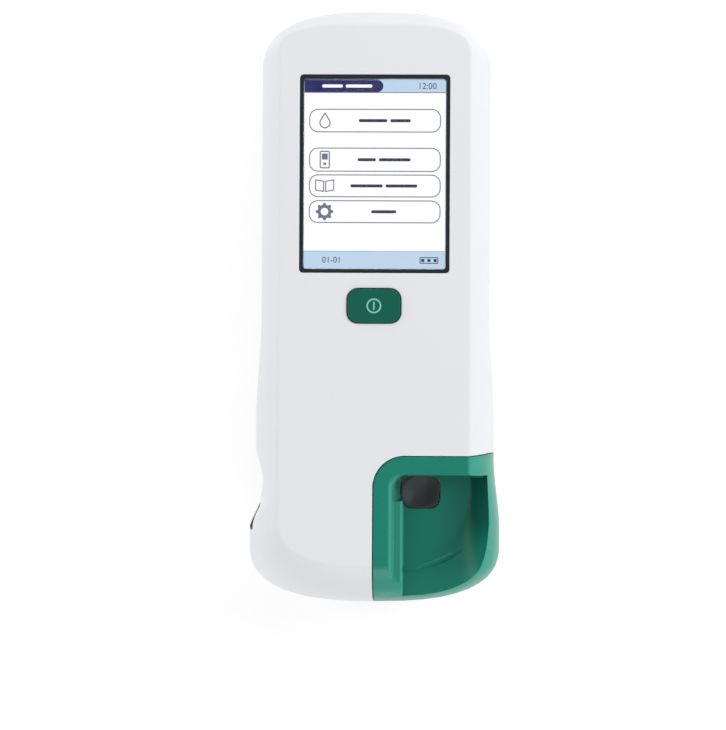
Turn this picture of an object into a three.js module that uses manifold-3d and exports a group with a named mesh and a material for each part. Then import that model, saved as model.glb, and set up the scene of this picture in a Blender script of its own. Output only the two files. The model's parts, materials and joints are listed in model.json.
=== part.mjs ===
import * as THREE from "three";
import { mergeVertices } from "three/addons/utils/BufferGeometryUtils.js";
import Module from "manifold-3d";

// A handheld test-strip reader, lying on its back on four rubber feet.
// Millimetres. X points right across the face, Y toward the head end, Z out of the face.
// Lengths along Y are measured from the base end, and the whole reader is centred at the end.

const wasm = await Module();
wasm.setup();

// Overall form
const length = 244;
const depth = 51;
const partingHeight = 24; // the two shells meet here, where the outline is widest
const headHalfWidth = 47.3;
const waistHalfWidth = 49.3;
const baseHalfWidth = 51.8;
const faceHalfWidth = 39; // half width of the flat front face
const wall = 2.5;
const gap = 0.3; // clearance between pieces that meet
const overrun = 6; // how far a cutter passes through what it cuts

// Outline of the shells, seen from the front
const outer = {
  baseCap: 24, // height of the rounded base end
  headCap: 26,
  flareLow: 30, // the flare runs in from here
  flareHigh: 60,
  waistHigh: 75,
  headLow: 118,
  endPower: 2.6, // squareness of the rounded ends
};
const face = {
  baseMargin: 15.5, // bare slope between the base end and the flat face
  headMargin: 7.5,
  baseCap: 20,
  headCap: 14.5,
  basePower: 2.6,
  headPower: 3.2,
  edgeRadius: 3,
  riseAngle: 60, // where the elliptical flank stops against the face
};
const back = {
  inset: 10, // how far the flat back lies inside the widest outline
  power: 2.4,
};
const scoop = {
  depth: 3.7, // finger scoop in the left flank, above the code chip slot
  high: 64,
  highFull: 49,
  lowFull: 42.5,
  low: 30.5,
};

// How finely the lofts are drawn
const endSteps = 20;
const scoopSteps = 11; // along the sides, up to the scoop's head end
const waistSteps = 4;
const flankSteps = 5;
const edgeSteps = 2;
const backSteps = 6;
const innerSteps = 3; // inner faces are drawn more coarsely
const innerSkip = 2;
const bowlSteps = 7;
const roundSides = 20;
const smallSides = 12;
const cornerSteps = 2; // a corner gets twice as many faces
const filletSteps = 4; // for the rounder corners that show
const footSteps = 3;
const portSteps = 8;
const shankSides = 8;
const socketSides = 6;
const coilSteps = 10; // for each turn of a coil
const wireSteps = 3;
const mergeDistance = 1e-4; // corners nearer than this are one corner

// Green port cover at the lower right
const port = {
  left: 0, // its left edge lies on the centre line
  top: 60.9,
  cornerRadius: 12.8,
  flankRise: 1.1, // its upper edge climbs on the flank
  frame: 7.7, // width of the top frame
  innerLeft: 10.4, // foot of the inner wall beside the strip mouth
  draft: 2.8, // how far that wall leans back up to the face
  ledgeRight: 12, // inner edge of the raised ledge that guides the strip
  ledgeTop: 42.6,
  ledgeDrop: 4.6, // below the face
  ledgeSlope: 1,
  ledgeBreak: 0.8,
  depth: 19.5, // from the face to the bowl floor
  innerRadius: 5.2,
  floorAcross: 27.5, // the flat floor, from the inner corner
  floorDown: 32.4,
  floorPower: 2.6,
  bowlRise: 11, // height over which the bowl opens to its rim at the right
  lowRise: 6, // and at the base end
  bowlRight: 47.5,
  bowlSink: 50.2, // from the inner wall to the low end of the rim
  bowlPower: 1.3,
  rimPower: 3.8,
  floorThickness: 2.8,
  skirt: 2.7, // thickness of the wall that hangs round the tray
  skirtRight: 46.6,
  pocketWall: 2.5,
  pocketLow: 19,
  pocketHigh: 50,
  pocketDrop: 5,
  edgeRadius: 1.8, // round along the inner edge of the frame
};
const crescent = {
  radius: 38.6, // finger-nail groove in the bowl, round the inner corner
  fromAngle: -87,
  toAngle: -47,
  lift: 0.9, // its centre line lies this far above the bowl
  thick: 1.6,
};
const throat = {
  left: 10.9,
  right: 27.1,
  low: 39,
  high: 52.2,
  cornerRadius: 4.2,
  rise: 5.5, // clear height of the strip entry over the bowl floor
};
const tray = { thickness: 2.2, rim: 1.8 }; // closed floor of the front shell under the port cover

// Strip channel and its lever
const guide = {
  tongueThickness: 1.9,
  channelHeight: 5,
  side: 1.8,
  roof: 1.5,
  end: 114,
  endWall: 2,
  dishDepth: 1.3,
  dishMargin: 0.5,
  postRadius: 2.4,
  postSetback: 2,
  windowLow: 72,
  windowHigh: 92,
  windowMargin: 1.4,
  heaterThickness: 1.6,
};
const lever = {
  y: 101,
  rise: 2.8, // pivot above the channel roof
  width: 2.6,
  hubRadius: 2.4,
  pinRadius: 1,
  pinOverhang: 0.6,
  noseReach: 5,
  noseClear: 0.7,
  noseWidth: 2.2,
  noseBack: 1.9,
  flagHeight: 5,
  flagThickness: 1.6,
  slotSide: 0.5,
  slotBehind: 4,
  slotAhead: 10,
  earWidth: 2,
  earHalf: 2.6,
  springRoom: 2.6,
  coilRadius: 1.9,
  coilWire: 0.25,
  coilTurns: 2,
};

// Optics over the strip window
const optics = {
  low: 66,
  high: 95,
  wall: 1.6,
  lid: 1.5,
  lensRadius: 3.3,
  lensThickness: 2.4,
  lensY: 76,
  holder: 3,
  holderDrop: 4,
  imagerHalfWidth: 5.5,
  imagerHalfHeight: 3.4,
  imagerThickness: 1.4,
  mirrorLength: 8.6,
  mirrorThickness: 1,
  mirrorHalfWidth: 6,
  mirrorY: 87,
  ringRadius: 3.95,
  ringThickness: 0.8,
  lampRadius: 0.3,
  lampHeight: 0.5,
  detectorThickness: 1.6,
  detectorHalfWidth: 2.5,
};

// Display module
const display = {
  width: 60.4,
  height: 79.9,
  headMargin: 28.45, // from its upper edge to the head end
  cornerRadius: 1.2,
  rim: 1.25,
  rimDrop: 0.3,
  windowDrop: 0.8,
  windowThickness: 2.8,
  flange: 2.8,
  flangeThickness: 5.6,
  panelMargin: 0.45,
  panelThickness: 1.8,
  backlightThickness: 2,
  plateThickness: 1.2,
  earWidth: 6,
  earMargin: 9,
  bossRadius: 2.7,
  bossSetout: 3.2,
  ribbonHalfWidth: 10,
  ribbonThickness: 0.3,
  ribbonReach: 3.7,
  ribbonLap: 3.4,
};

// Power button and its switch
const button = {
  width: 21.6,
  height: 13.8,
  radius: 4.3,
  drop: 13.65, // from the display's lower edge to its middle
  proud: 0.9,
  flange: 1.4,
  flangeThickness: 1.6,
  travel: 0.8,
  edge: 0.7,
};
const powerSwitch = {
  halfSize: 3,
  height: 3,
  boreRadius: 2.1,
  plungerRadius: 1.8,
  plungerLength: 2.2,
  boardHalfWidth: 20,
  boardHalfHeight: 7.6,
  boardThickness: 1.2,
  boardCorner: 1.2,
  bossX: 16.6,
  bossRadius: 2.7,
};

// Main board, and what stands on it
const board = { drop: 1.4, thickness: 1.6, low: 14, headMargin: 8, cornerRadius: 4 };
const chips = {
  height: 2,
  processor: { x: -15, y: 58, halfX: 7, halfY: 7 },
  memory: { x: -15, y: 84, halfX: 6, halfY: 4.5 },
};
const buzzer = { x: -20, y: 104, radius: 4.6, height: 3.6 };
const clockCell = { clear: 4.7, y: 36, radius: 6.3, height: 3.2 };

// Code chip slot in the left flank
const chipSlot = {
  low: 29.9,
  high: 41.1,
  rise: 4, // above the parting
  height: 8,
  cornerRadius: 1.6,
  socketWall: 1.3,
  mouthClear: 0.9, // from the socket's mouth to the flank's inner face
  socketDepth: 14,
  socketBack: 4.5,
  contactLength: 3,
  contactHalfWidth: 0.35,
  contactCount: 5,
};

// Battery, its bay and its door
const battery = { halfWidth: 25, headMargin: 18, length: 76, thickness: 12.4, edgeRadius: 3 };
const bay = { wall: 2.2, roof: 2, web: 2, keel: 2.4 };
const door = {
  halfWidth: 26,
  lowMargin: 6, // how far it runs past the battery
  endLength: 15, // its head end is wide enough for the rails to pass out
  height: 14.5, // top of its upturned end
  thickness: 2.2,
  cornerRadius: 3,
  railFoot: 1.6,
  railReach: 2.2,
  railThickness: 1.2,
  railLength: 20,
  railMargin: 8,
  gripCount: 5,
  gripPitch: 3.2,
  gripWidth: 1.3,
  gripDepth: 0.5,
  gripHalf: 9,
  gripLow: 9,
  padMargin: 10,
};
const contacts = { halfWidth: 8, thickness: 3, height: 8, grooveHalf: 0.8, groovePitch: 5, grooveDepth: 0.6 };

// Window and light module at the head end, and the power socket at the right
const dataWindow = { halfWidth: 11, low: 15.8, high: 21.6, thickness: 1.8 };
const transceiver = { halfWidth: 4.2, length: 7, height: 4, domeRadius: 1.5, setback: 3.6 };
const jack = {
  headMargin: 44,
  halfWidth: 4.5,
  height: 9,
  noseRadius: 4,
  boreRadius: 3.1,
  pinRadius: 0.95,
  recess: 0.5,
  pinRecess: 2,
  boreEnd: 3.4,
  faceClear: 0.9, // from its body to the curved side wall
};

// Fasteners and feet
const screw = {
  x: 36,
  base: 24,
  headMargin: 22,
  headRadius: 2.6,
  headHeight: 2,
  socketRadius: 1.3,
  shankRadius: 1.3,
  seat: 10, // floor of its counterbore
  tipMargin: 1,
  bossRadius: 4.2,
  frontBossRadius: 3.2,
};
const smallScrew = { headRadius: 1.9, headHeight: 1.3, shankRadius: 0.9, socketRadius: 0.8, length: 6 };
const boardBoss = { x: 26, base: 19, bayMargin: 10.2, radius: 3 };
const foot = {
  height: 1.5,
  x: 32,
  base: 42,
  headMargin: 44,
  halfWidth: 3.5,
  halfLength: 8.5,
  cornerRadius: 3.4,
  recess: 0.6,
};

// Levels and places worked out from the sizes above
const frontInside = depth - wall;
const backLevel = foot.height;
const boardTop = partingHeight - board.drop;
const boardBottom = boardTop - board.thickness;
const boardHalf = screw.x - screw.bossRadius - gap;
const boardHigh = length - board.headMargin;
const bowlFloor = depth - port.depth;
const bowlTop = port.top - port.frame;
const coverUnderside = bowlFloor - port.floorThickness;
const trayTop = coverUnderside - gap;
const trayBottom = trayTop - tray.thickness;
const channelFloor = trayTop + gap + guide.tongueThickness;
const shelfLow = channelFloor + gap; // the cover's floor laps the tongue from here up
const channelRoof = bowlFloor + guide.channelHeight;
const roofTop = channelRoof + guide.roof;
const guideLow = port.top + gap + wall + gap;
const guideLeft = throat.left - guide.side;
const guideRight = throat.right + guide.side;
const guideX = (throat.left + throat.right) / 2;
const pivotZ = roofTop + lever.rise;
const lensZ = (roofTop + gap + frontInside - gap - optics.lid) / 2;
const displayHigh = length - display.headMargin;
const displayLow = displayHigh - display.height;
const buttonY = displayLow - button.drop;
const rimTop = depth - display.rimDrop;
const windowTop = depth - display.windowDrop;
const windowBottom = windowTop - display.windowThickness;
const panelTop = windowBottom - gap;
const panelBottom = panelTop - display.panelThickness;
const backlightTop = panelBottom - gap;
const backlightBottom = backlightTop - display.backlightThickness;
const flangeTop = frontInside - gap;
const flangeBottom = flangeTop - display.flangeThickness;
const plateTop = flangeBottom - gap;
const plateBottom = plateTop - display.plateThickness;
const displayBossX = display.width / 2 + display.flange + display.bossSetout;
const buttonBottom = flangeTop - button.flangeThickness;
const switchTop = buttonBottom - button.travel - gap;
const switchBottom = switchTop - powerSwitch.height;
const plungerBottom = buttonBottom - gap - powerSwitch.plungerLength;
const switchBoardTop = switchBottom - gap;
const switchBoardBottom = switchBoardTop - powerSwitch.boardThickness;
const bayTop = boardBottom - gap;
const bayRoof = bayTop - bay.roof;
const batteryLow = length - battery.headMargin - battery.length;
const bayLow = batteryLow - gap - contacts.thickness - gap;
const bayHigh = batteryLow + battery.length + gap;
const bayHalf = battery.halfWidth + gap;
const batteryTop = bayRoof - gap;
const batteryBottom = batteryTop - battery.thickness;
const doorLow = batteryLow - door.lowMargin;
const railBottom = backLevel + wall + gap;
const railTop = railBottom + door.railThickness;
const webBottom = railTop + gap;
const boardBossUpper = bayLow - bay.wall - boardBoss.bayMargin;
const screwHeights = [screw.base, length / 2, length - screw.headMargin];
const footHeights = [foot.base, length - foot.headMargin];
const screwTip = trayTop - screw.tipMargin;
const jackY = length - jack.headMargin;
const socketLeft = -(baseHalfWidth - scoop.depth);
const socketRight = socketLeft + chipSlot.socketDepth + chipSlot.socketBack;
const clockCellX = socketRight + clockCell.clear + clockCell.radius;
const rad = THREE.MathUtils.degToRad;

// Solids

function solidOf(geometry) {
  geometry.deleteAttribute("normal");
  geometry.deleteAttribute("uv");
  const merged = mergeVertices(geometry, mergeDistance);
  const solid = new wasm.Manifold(
    new wasm.Mesh({
      numProp: 3,
      vertProperties: new Float32Array(merged.attributes.position.array),
      triVerts: new Uint32Array(merged.index.array),
    }),
  );
  return solid;
}

function geometryOf(solid) {
  const mesh = solid.getMesh();
  const geometry = new THREE.BufferGeometry();
  geometry.setAttribute("position", new THREE.BufferAttribute(mesh.vertProperties, 3));
  geometry.setIndex(new THREE.BufferAttribute(mesh.triVerts, 1));
  geometry.computeVertexNormals();
  return geometry;
}

function join(...solids) {
  return solids.reduce((sum, solid) => sum.add(solid));
}

function cut(solid, ...cutters) {
  return cutters.reduce((rest, cutter) => rest.subtract(cutter), solid);
}

function block(x0, x1, y0, y1, z0, z1) {
  const geometry = new THREE.BoxGeometry(x1 - x0, y1 - y0, z1 - z0);
  geometry.translate((x0 + x1) / 2, (y0 + y1) / 2, (z0 + z1) / 2);
  return solidOf(geometry);
}

// A round bar between two points
function bar(start, end, radius, sides = smallSides) {
  const from = new THREE.Vector3(...start);
  const along = new THREE.Vector3(...end).sub(from);
  const geometry = new THREE.CylinderGeometry(radius, radius, along.length(), sides);
  const turn = new THREE.Quaternion().setFromUnitVectors(
    new THREE.Vector3(0, 1, 0),
    along.clone().normalize(),
  );
  geometry.applyQuaternion(turn);
  geometry.translate(...from.addScaledVector(along, 1 / 2).toArray());
  return solidOf(geometry);
}

// An upright round bar
function post(x, y, z0, z1, radius, sides = smallSides) {
  return bar([x, y, z0], [x, y, z1], radius, sides);
}

function roundedShape(x0, x1, y0, y1, radius) {
  const shape = new THREE.Shape();
  shape.moveTo(x0 + radius, y0);
  shape.lineTo(x1 - radius, y0);
  shape.absarc(x1 - radius, y0 + radius, radius, -Math.PI / 2, 0, false);
  shape.lineTo(x1, y1 - radius);
  shape.absarc(x1 - radius, y1 - radius, radius, 0, Math.PI / 2, false);
  shape.lineTo(x0 + radius, y1);
  shape.absarc(x0 + radius, y1 - radius, radius, Math.PI / 2, Math.PI, false);
  shape.lineTo(x0, y0 + radius);
  shape.absarc(x0 + radius, y0 + radius, radius, Math.PI, Math.PI * 1.5, false);
  return shape;
}

// A flat outline raised from one level to another
function raise(shape, z0, z1, steps = cornerSteps) {
  const geometry = new THREE.ExtrudeGeometry(shape, {
    depth: z1 - z0,
    bevelEnabled: false,
    curveSegments: steps,
  });
  geometry.translate(0, 0, z0);
  return solidOf(geometry);
}

function roundedPlate(x0, x1, y0, y1, z0, z1, radius, steps = cornerSteps) {
  return raise(roundedShape(x0, x1, y0, y1, radius), z0, z1, steps);
}

// A shape drawn in Y and Z, given width along X
function sideRaise(shape, x0, x1) {
  const geometry = new THREE.ExtrudeGeometry(shape, {
    depth: x1 - x0,
    bevelEnabled: false,
    curveSegments: cornerSteps,
  });
  const turn = new THREE.Matrix4().makeBasis(
    new THREE.Vector3(0, 1, 0),
    new THREE.Vector3(0, 0, 1),
    new THREE.Vector3(1, 0, 0),
  );
  geometry.applyMatrix4(turn);
  geometry.translate(x0, 0, 0);
  return solidOf(geometry);
}

function sideProfile(points, x0, x1) {
  return sideRaise(new THREE.Shape(points.map(([y, z]) => new THREE.Vector2(y, z))), x0, x1);
}

// A profile drawn in X and Z, given length along Y
function endRaise(points, y0, y1) {
  const shape = new THREE.Shape(points.map(([x, z]) => new THREE.Vector2(x, z)));
  const geometry = new THREE.ExtrudeGeometry(shape, { depth: y1 - y0, bevelEnabled: false });
  geometry.rotateX(Math.PI / 2);
  geometry.translate(0, y1, 0);
  return solidOf(geometry);
}

// A skin over closed rings of points, listed upward, each anticlockwise from above
function loft(rings) {
  const count = rings[0].length;
  const places = rings.flat().flatMap((point) => point.toArray());
  const faces = [];
  for (let r = 0; r + 1 < rings.length; r += 1) {
    for (let k = 0; k < count; k += 1) {
      const next = (k + 1) % count;
      const a = r * count + k;
      const b = r * count + next;
      faces.push(a, b, b + count, a, b + count, a + count);
    }
  }
  const capEnds = [
    [rings[0], 0, true],
    [rings[rings.length - 1], (rings.length - 1) * count, false],
  ];
  for (const [ring, first, under] of capEnds) {
    const centre = new THREE.Vector3();
    ring.forEach((point) => centre.addScaledVector(point, 1 / count));
    const hub = places.length / 3;
    places.push(...centre.toArray());
    for (let k = 0; k < count; k += 1) {
      const a = first + k;
      const b = first + ((k + 1) % count);
      if (under) faces.push(hub, b, a);
      else faces.push(hub, a, b);
    }
  }
  const geometry = new THREE.BufferGeometry();
  geometry.setAttribute("position", new THREE.Float32BufferAttribute(places, 3));
  geometry.setIndex(faces);
  return solidOf(geometry);
}

// Outlines of the reader

function ease(from, to, y) {
  const rising = THREE.MathUtils.smoothstep(y, Math.min(from, to), Math.max(from, to));
  return from < to ? rising : 1 - rising;
}

function widestHalf(y) {
  const toWaist = ease(outer.flareLow, outer.flareHigh, y);
  const toHead = ease(outer.waistHigh, outer.headLow, y);
  return (
    baseHalfWidth + (waistHalfWidth - baseHalfWidth) * toWaist +
    (headHalfWidth - waistHalfWidth) * toHead
  );
}

function scoopAt(y) {
  return scoop.depth * ease(scoop.high, scoop.highFull, y) * ease(scoop.low, scoop.lowFull, y);
}

// A closed outline: up the right side, over the head, down the left side, round the base
function outlinePoints({ low, high, baseCap, headCap, basePower, headPower, right, left }) {
  const stations = [];
  for (let k = 0; k < scoopSteps; k += 1) {
    stations.push(low + ((scoop.high - low) * k) / scoopSteps);
  }
  for (let k = 0; k <= waistSteps; k += 1) {
    stations.push(scoop.high + ((outer.headLow - scoop.high) * k) / waistSteps);
  }
  stations.push(high);
  const points = stations.map((y) => new THREE.Vector2(right(y), y));
  for (let k = 1; k < endSteps; k += 1) {
    const angle = (Math.PI * k) / endSteps;
    const across = Math.sign(Math.cos(angle)) * Math.abs(Math.cos(angle)) ** (2 / headPower);
    const half = across > 0 ? right(high) : left(high);
    points.push(new THREE.Vector2(half * across, high + headCap * Math.sin(angle) ** (2 / headPower)));
  }
  stations.reverse().forEach((y) => points.push(new THREE.Vector2(-left(y), y)));
  for (let k = 1; k < endSteps; k += 1) {
    const angle = (Math.PI * k) / endSteps;
    const across = -Math.sign(Math.cos(angle)) * Math.abs(Math.cos(angle)) ** (2 / basePower);
    const half = across > 0 ? right(low) : left(low);
    points.push(new THREE.Vector2(half * across, low - baseCap * Math.sin(angle) ** (2 / basePower)));
  }
  return points;
}

const widestOutline = outlinePoints({
  low: outer.baseCap,
  high: length - outer.headCap,
  baseCap: outer.baseCap,
  headCap: outer.headCap,
  basePower: outer.endPower,
  headPower: outer.endPower,
  right: widestHalf,
  left: (y) => widestHalf(y) - scoopAt(y),
});
const faceOutline = outlinePoints({
  low: face.baseMargin + face.baseCap,
  high: length - face.headMargin - face.headCap,
  baseCap: face.baseCap,
  headCap: face.headCap,
  basePower: face.basePower,
  headPower: face.headPower,
  right: () => faceHalfWidth,
  left: () => faceHalfWidth,
});

// Moves every point of an outline inward, square to the outline
function insetOutline(points, inset) {
  const count = points.length;
  return points.map((point, k) => {
    const along = points[(k + 1) % count].clone().sub(points[(k + count - 1) % count]);
    along.normalize();
    return new THREE.Vector2(point.x - along.y * inset, point.y + along.x * inset);
  });
}

// One ring of a shell: a share of the way from the widest outline to the face, inset, at a level
function shellRing(share, inset, z, every) {
  const mixed = widestOutline.map((point, k) => point.clone().lerp(faceOutline[k], share));
  const ring = insetOutline(mixed, inset).map((point) => new THREE.Vector3(point.x, point.y, z));
  return ring.filter((point, k) => k % every === 0);
}

// The flank is part of an ellipse that meets the face at an angle, with a rounded edge between
const flankRise = (depth - partingHeight) / Math.sin(rad(face.riseAngle));
const flankRun = (baseHalfWidth + headHalfWidth) / 2 - faceHalfWidth;
const flankSlope = Math.atan(
  (flankRise * Math.cos(rad(face.riseAngle)) * (1 - Math.cos(rad(face.riseAngle)))) /
    (flankRun * Math.sin(rad(face.riseAngle))),
);

function flankShare(z) {
  const sine = THREE.MathUtils.clamp((z - partingHeight) / flankRise, 0, 1);
  return (1 - Math.sqrt(1 - sine * sine)) / (1 - Math.cos(rad(face.riseAngle)));
}

function frontLoft(inset, from, top) {
  const steps = inset > 0 ? innerSteps : flankSteps;
  const every = inset > 0 ? innerSkip : 1;
  const edgeRadius = Math.max(face.edgeRadius - inset, face.edgeRadius / 3);
  const edgeFoot = top - edgeRadius * (1 - Math.cos(flankSlope));
  const start = Math.max(from, partingHeight);
  const startAngle = Math.asin((start - partingHeight) / flankRise);
  const footAngle = Math.asin((edgeFoot - partingHeight) / flankRise);
  const rings = [];
  if (from < partingHeight) rings.push(shellRing(0, inset, from, every));
  for (let k = 0; k <= steps; k += 1) {
    const angle = startAngle + ((footAngle - startAngle) * k) / steps;
    const z = partingHeight + flankRise * Math.sin(angle);
    rings.push(shellRing(flankShare(z), inset, z, every));
  }
  const tangent = edgeRadius * Math.tan(flankSlope / 2);
  for (let k = 1; k <= edgeSteps; k += 1) {
    const turn = flankSlope * (1 - k / edgeSteps);
    const z = top - edgeRadius * (1 - Math.cos(turn));
    const drawnIn = inset + tangent - edgeRadius * Math.sin(turn);
    rings.push(shellRing(flankShare(top), drawnIn, z, every));
  }
  return loft(rings);
}

// How far the back has drawn in at a level, as a share of its full inset
function backShare(z) {
  const t = THREE.MathUtils.clamp((partingHeight - z) / (partingHeight - backLevel), 0, 1);
  return 1 - (1 - t ** back.power) ** (1 / back.power);
}

function backLoft(inset, from, top) {
  const steps = inset > 0 ? innerSteps + 1 : backSteps;
  const every = inset > 0 ? innerSkip : 1;
  const rings = [];
  for (let k = 0; k <= steps; k += 1) {
    const angle = ((Math.PI / 2) * k) / steps;
    const z = partingHeight - (partingHeight - from) * Math.max(Math.cos(angle), 0) ** (2 / back.power);
    const drawnIn = back.inset * (1 - Math.sin(angle) ** (2 / back.power));
    rings.push(shellRing(0, inset + drawnIn, z, every));
  }
  if (top > partingHeight) rings.push(shellRing(0, inset, top, every));
  return loft(rings);
}

// The widest outline, inset and raised straight up
function outlinePrism(inset, z0, z1) {
  return loft([shellRing(0, inset, z0, innerSkip), shellRing(0, inset, z1, innerSkip)]);
}

function mirrored(make) {
  return join(make(-1), make(1));
}

// Front shell

function portShape(grow) {
  const left = port.left - grow;
  const top = port.top + grow;
  const radius = port.cornerRadius + grow;
  const right = baseHalfWidth + overrun;
  const climb = (port.flankRise * (right - faceHalfWidth)) / (waistHalfWidth - faceHalfWidth);
  const shape = new THREE.Shape();
  shape.moveTo(left, -overrun);
  shape.lineTo(right, -overrun);
  shape.lineTo(right, top + climb);
  shape.lineTo(faceHalfWidth, top);
  shape.lineTo(left + radius, top);
  shape.absarc(left + radius, top - radius, radius, Math.PI / 2, Math.PI, false);
  return shape;
}

function portPrism(grow, z0, z1) {
  return raise(portShape(grow), z0, z1, portSteps);
}

function displayPlate(grow, z0, z1) {
  const half = display.width / 2 + grow;
  const radius = display.cornerRadius + Math.max(grow, 0);
  return roundedPlate(-half, half, displayLow - grow, displayHigh + grow, z0, z1, radius);
}

function buttonPlate(grow, z0, z1) {
  const half = button.width / 2 + grow;
  const low = buttonY - button.height / 2 - grow;
  const high = buttonY + button.height / 2 + grow;
  return roundedPlate(-half, half, low, high, z0, z1, button.radius + grow, filletSteps);
}

// The strip mouth: open through the cover's floor and top wall, with a lap over the tongue's corners
function throatCutter() {
  const high = guideLow + overrun;
  const roof = bowlFloor + throat.rise;
  const low = coverUnderside - overrun;
  const opening = (end, z0, z1) => roundedPlate(
    throat.left, throat.right, throat.low, end, z0, z1, throat.cornerRadius, filletSteps);
  const slotStart = throat.high - throat.cornerRadius;
  const wallSlot = block(throat.left, throat.right, slotStart, high, bowlFloor, roof);
  return join(opening(high, low, shelfLow), opening(throat.high, low, roof), wallSlot);
}

function makeTray() {
  const left = port.left - gap - wall / 2;
  const high = port.top + gap + wall / 2;
  const right = port.skirtRight - gap;
  const inset = port.skirt + gap;
  const low = partingHeight + gap;
  const solid = outlinePrism(inset, low, trayTop).intersect(
    block(left, right, -overrun, high, low, trayTop),
  );
  const hollow = outlinePrism(inset + tray.rim, low - overrun, trayBottom).intersect(
    block(left - overrun, right - tray.rim, -overrun, high + overrun, low - overrun, trayBottom),
  );
  return cut(solid, hollow).intersect(portPrism(gap + wall / 2, low, trayTop));
}

function makeFrontShell() {
  const low = partingHeight + gap;
  const skin = cut(
    frontLoft(0, low, depth),
    frontLoft(wall, partingHeight - overrun, frontInside),
    portPrism(gap, 0, depth + overrun),
  );
  const middle = frontLoft(wall / 2, low, depth - wall / 2);
  const step = cut(portPrism(gap + wall, low, depth), portPrism(gap, 0, depth + overrun));
  const bosses = [];
  for (const side of [-1, 1]) {
    for (const y of screwHeights) {
      const underTray = side > 0 && y < port.top;
      const top = underTray ? trayBottom + tray.thickness / 2 : depth;
      bosses.push(post(side * screw.x, y, low, top, screw.frontBossRadius, shankSides));
    }
    for (const y of [displayLow + display.earMargin, displayHigh - display.earMargin]) {
      bosses.push(post(side * displayBossX, y, plateTop + gap, depth, display.bossRadius, shankSides));
    }
    const bossX = side * powerSwitch.bossX;
    bosses.push(post(bossX, buttonY, switchBoardTop + gap, depth, powerSwitch.bossRadius, shankSides));
  }
  const shell = join(skin, makeTray(), join(step, ...bosses).intersect(middle));
  const holes = [
    displayPlate(gap, frontInside - overrun, depth + overrun),
    buttonPlate(gap, frontInside - overrun, depth + overrun),
    block(throat.left, throat.right, port.top, guideLow, trayTop, bowlFloor + throat.rise),
  ];
  const slotLow = partingHeight + chipSlot.rise;
  const slotShape = roundedShape(
    chipSlot.low, chipSlot.high, slotLow, slotLow + chipSlot.height, chipSlot.cornerRadius);
  holes.push(sideRaise(slotShape, -baseHalfWidth - overrun, socketLeft + overrun));
  const pilot = smallScrew.shankRadius + gap;
  for (const side of [-1, 1]) {
    for (const y of screwHeights) {
      const top = screwTip + gap;
      const radius = screw.shankRadius + gap;
      holes.push(post(side * screw.x, y, partingHeight - overrun, top, radius, shankSides));
    }
    for (const y of [displayLow + display.earMargin, displayHigh - display.earMargin]) {
      holes.push(post(side * displayBossX, y, plateBottom, frontInside - gap, pilot, shankSides));
    }
    const bossX = side * powerSwitch.bossX;
    holes.push(post(bossX, buttonY, switchBoardBottom, frontInside - gap, pilot, shankSides));
  }
  return cut(shell, ...holes);
}

// Port cover

// How far the bowl's skin lies right of and below its inner corner, at a share of the way to its rim
function bowlReach(share, angle) {
  const mix = (atFloor, atRim) => atFloor + (atRim - atFloor) * share;
  const power = 2 / mix(port.floorPower, port.rimPower);
  return [
    mix(port.floorAcross, port.bowlRight - port.ledgeRight) * Math.sin(angle) ** power,
    mix(port.floorDown, port.bowlSink) * Math.max(Math.cos(angle), 0) ** power,
  ];
}

// The angle runs from the base end to the right side
function bowlHeight(share, angle) {
  const rise = port.lowRise + ((port.bowlRise - port.lowRise) * angle) / (Math.PI / 2);
  return bowlFloor + rise * share ** port.bowlPower;
}

function innerWallAt(z) {
  return port.innerLeft - (port.draft * (z - bowlFloor)) / port.depth;
}

function bowlRing(share, heightAt, widen) {
  const points = [];
  const steps = endSteps / 2;
  const top = bowlTop + widen / 2;
  for (let k = 0; k <= steps; k += 1) {
    const angle = (Math.PI / 2) * (k / steps);
    const [across, down] = bowlReach(share, angle);
    points.push(new THREE.Vector3(port.ledgeRight + across, top - down, heightAt(angle)));
  }
  const low = heightAt(0);
  points.unshift(new THREE.Vector3(innerWallAt(low) - widen, points[0].y, low));
  const z = heightAt(Math.PI / 2);
  for (let k = 0; k <= filletSteps; k += 1) {
    const angle = (Math.PI / 2) * (1 + k / filletSteps);
    const x = innerWallAt(z) - widen + port.innerRadius * (1 + Math.cos(angle));
    const y = top - port.innerRadius * (1 - Math.sin(angle));
    points.push(new THREE.Vector3(x, y, z));
  }
  return points;
}

function bowlCutter() {
  const rings = [];
  for (let k = 0; k <= bowlSteps; k += 1) {
    const share = k / bowlSteps;
    rings.push(bowlRing(share, (angle) => bowlHeight(share, angle), 0));
  }
  for (let k = 0; k <= edgeSteps; k += 1) {
    const turn = ((Math.PI / 2) * k) / edgeSteps;
    const z = depth - port.edgeRadius * (1 - Math.sin(turn));
    rings.push(bowlRing(1, () => z, port.edgeRadius * (1 - Math.cos(turn))));
  }
  rings.push(bowlRing(1, () => depth + overrun, port.edgeRadius));
  const ledgeLevel = depth - port.ledgeDrop;
  const ledge = endRaise(
    [
      [port.innerLeft - overrun, coverUnderside],
      [port.ledgeRight, coverUnderside],
      [port.ledgeRight, ledgeLevel - port.ledgeBreak],
      [port.ledgeRight - port.ledgeBreak, ledgeLevel],
      [port.innerLeft - overrun, ledgeLevel + port.ledgeSlope],
    ],
    -overrun,
    port.ledgeTop,
  );
  return cut(loft(rings), ledge);
}

// Height of the bowl's skin at a distance and direction from its inner corner
function bowlLevel(radius, direction) {
  const right = Math.cos(direction);
  const below = -Math.sin(direction);
  const reach = (across, down, power) =>
    ((right / across) ** power + (below / down) ** power) ** (-1 / power);
  const floor = reach(port.floorAcross, port.floorDown, port.floorPower);
  const rim = reach(port.bowlRight - port.ledgeRight, port.bowlSink, port.rimPower);
  const share = THREE.MathUtils.clamp((radius - floor) / (rim - floor), 0, 1);
  return bowlHeight(share, direction + Math.PI / 2);
}

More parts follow.
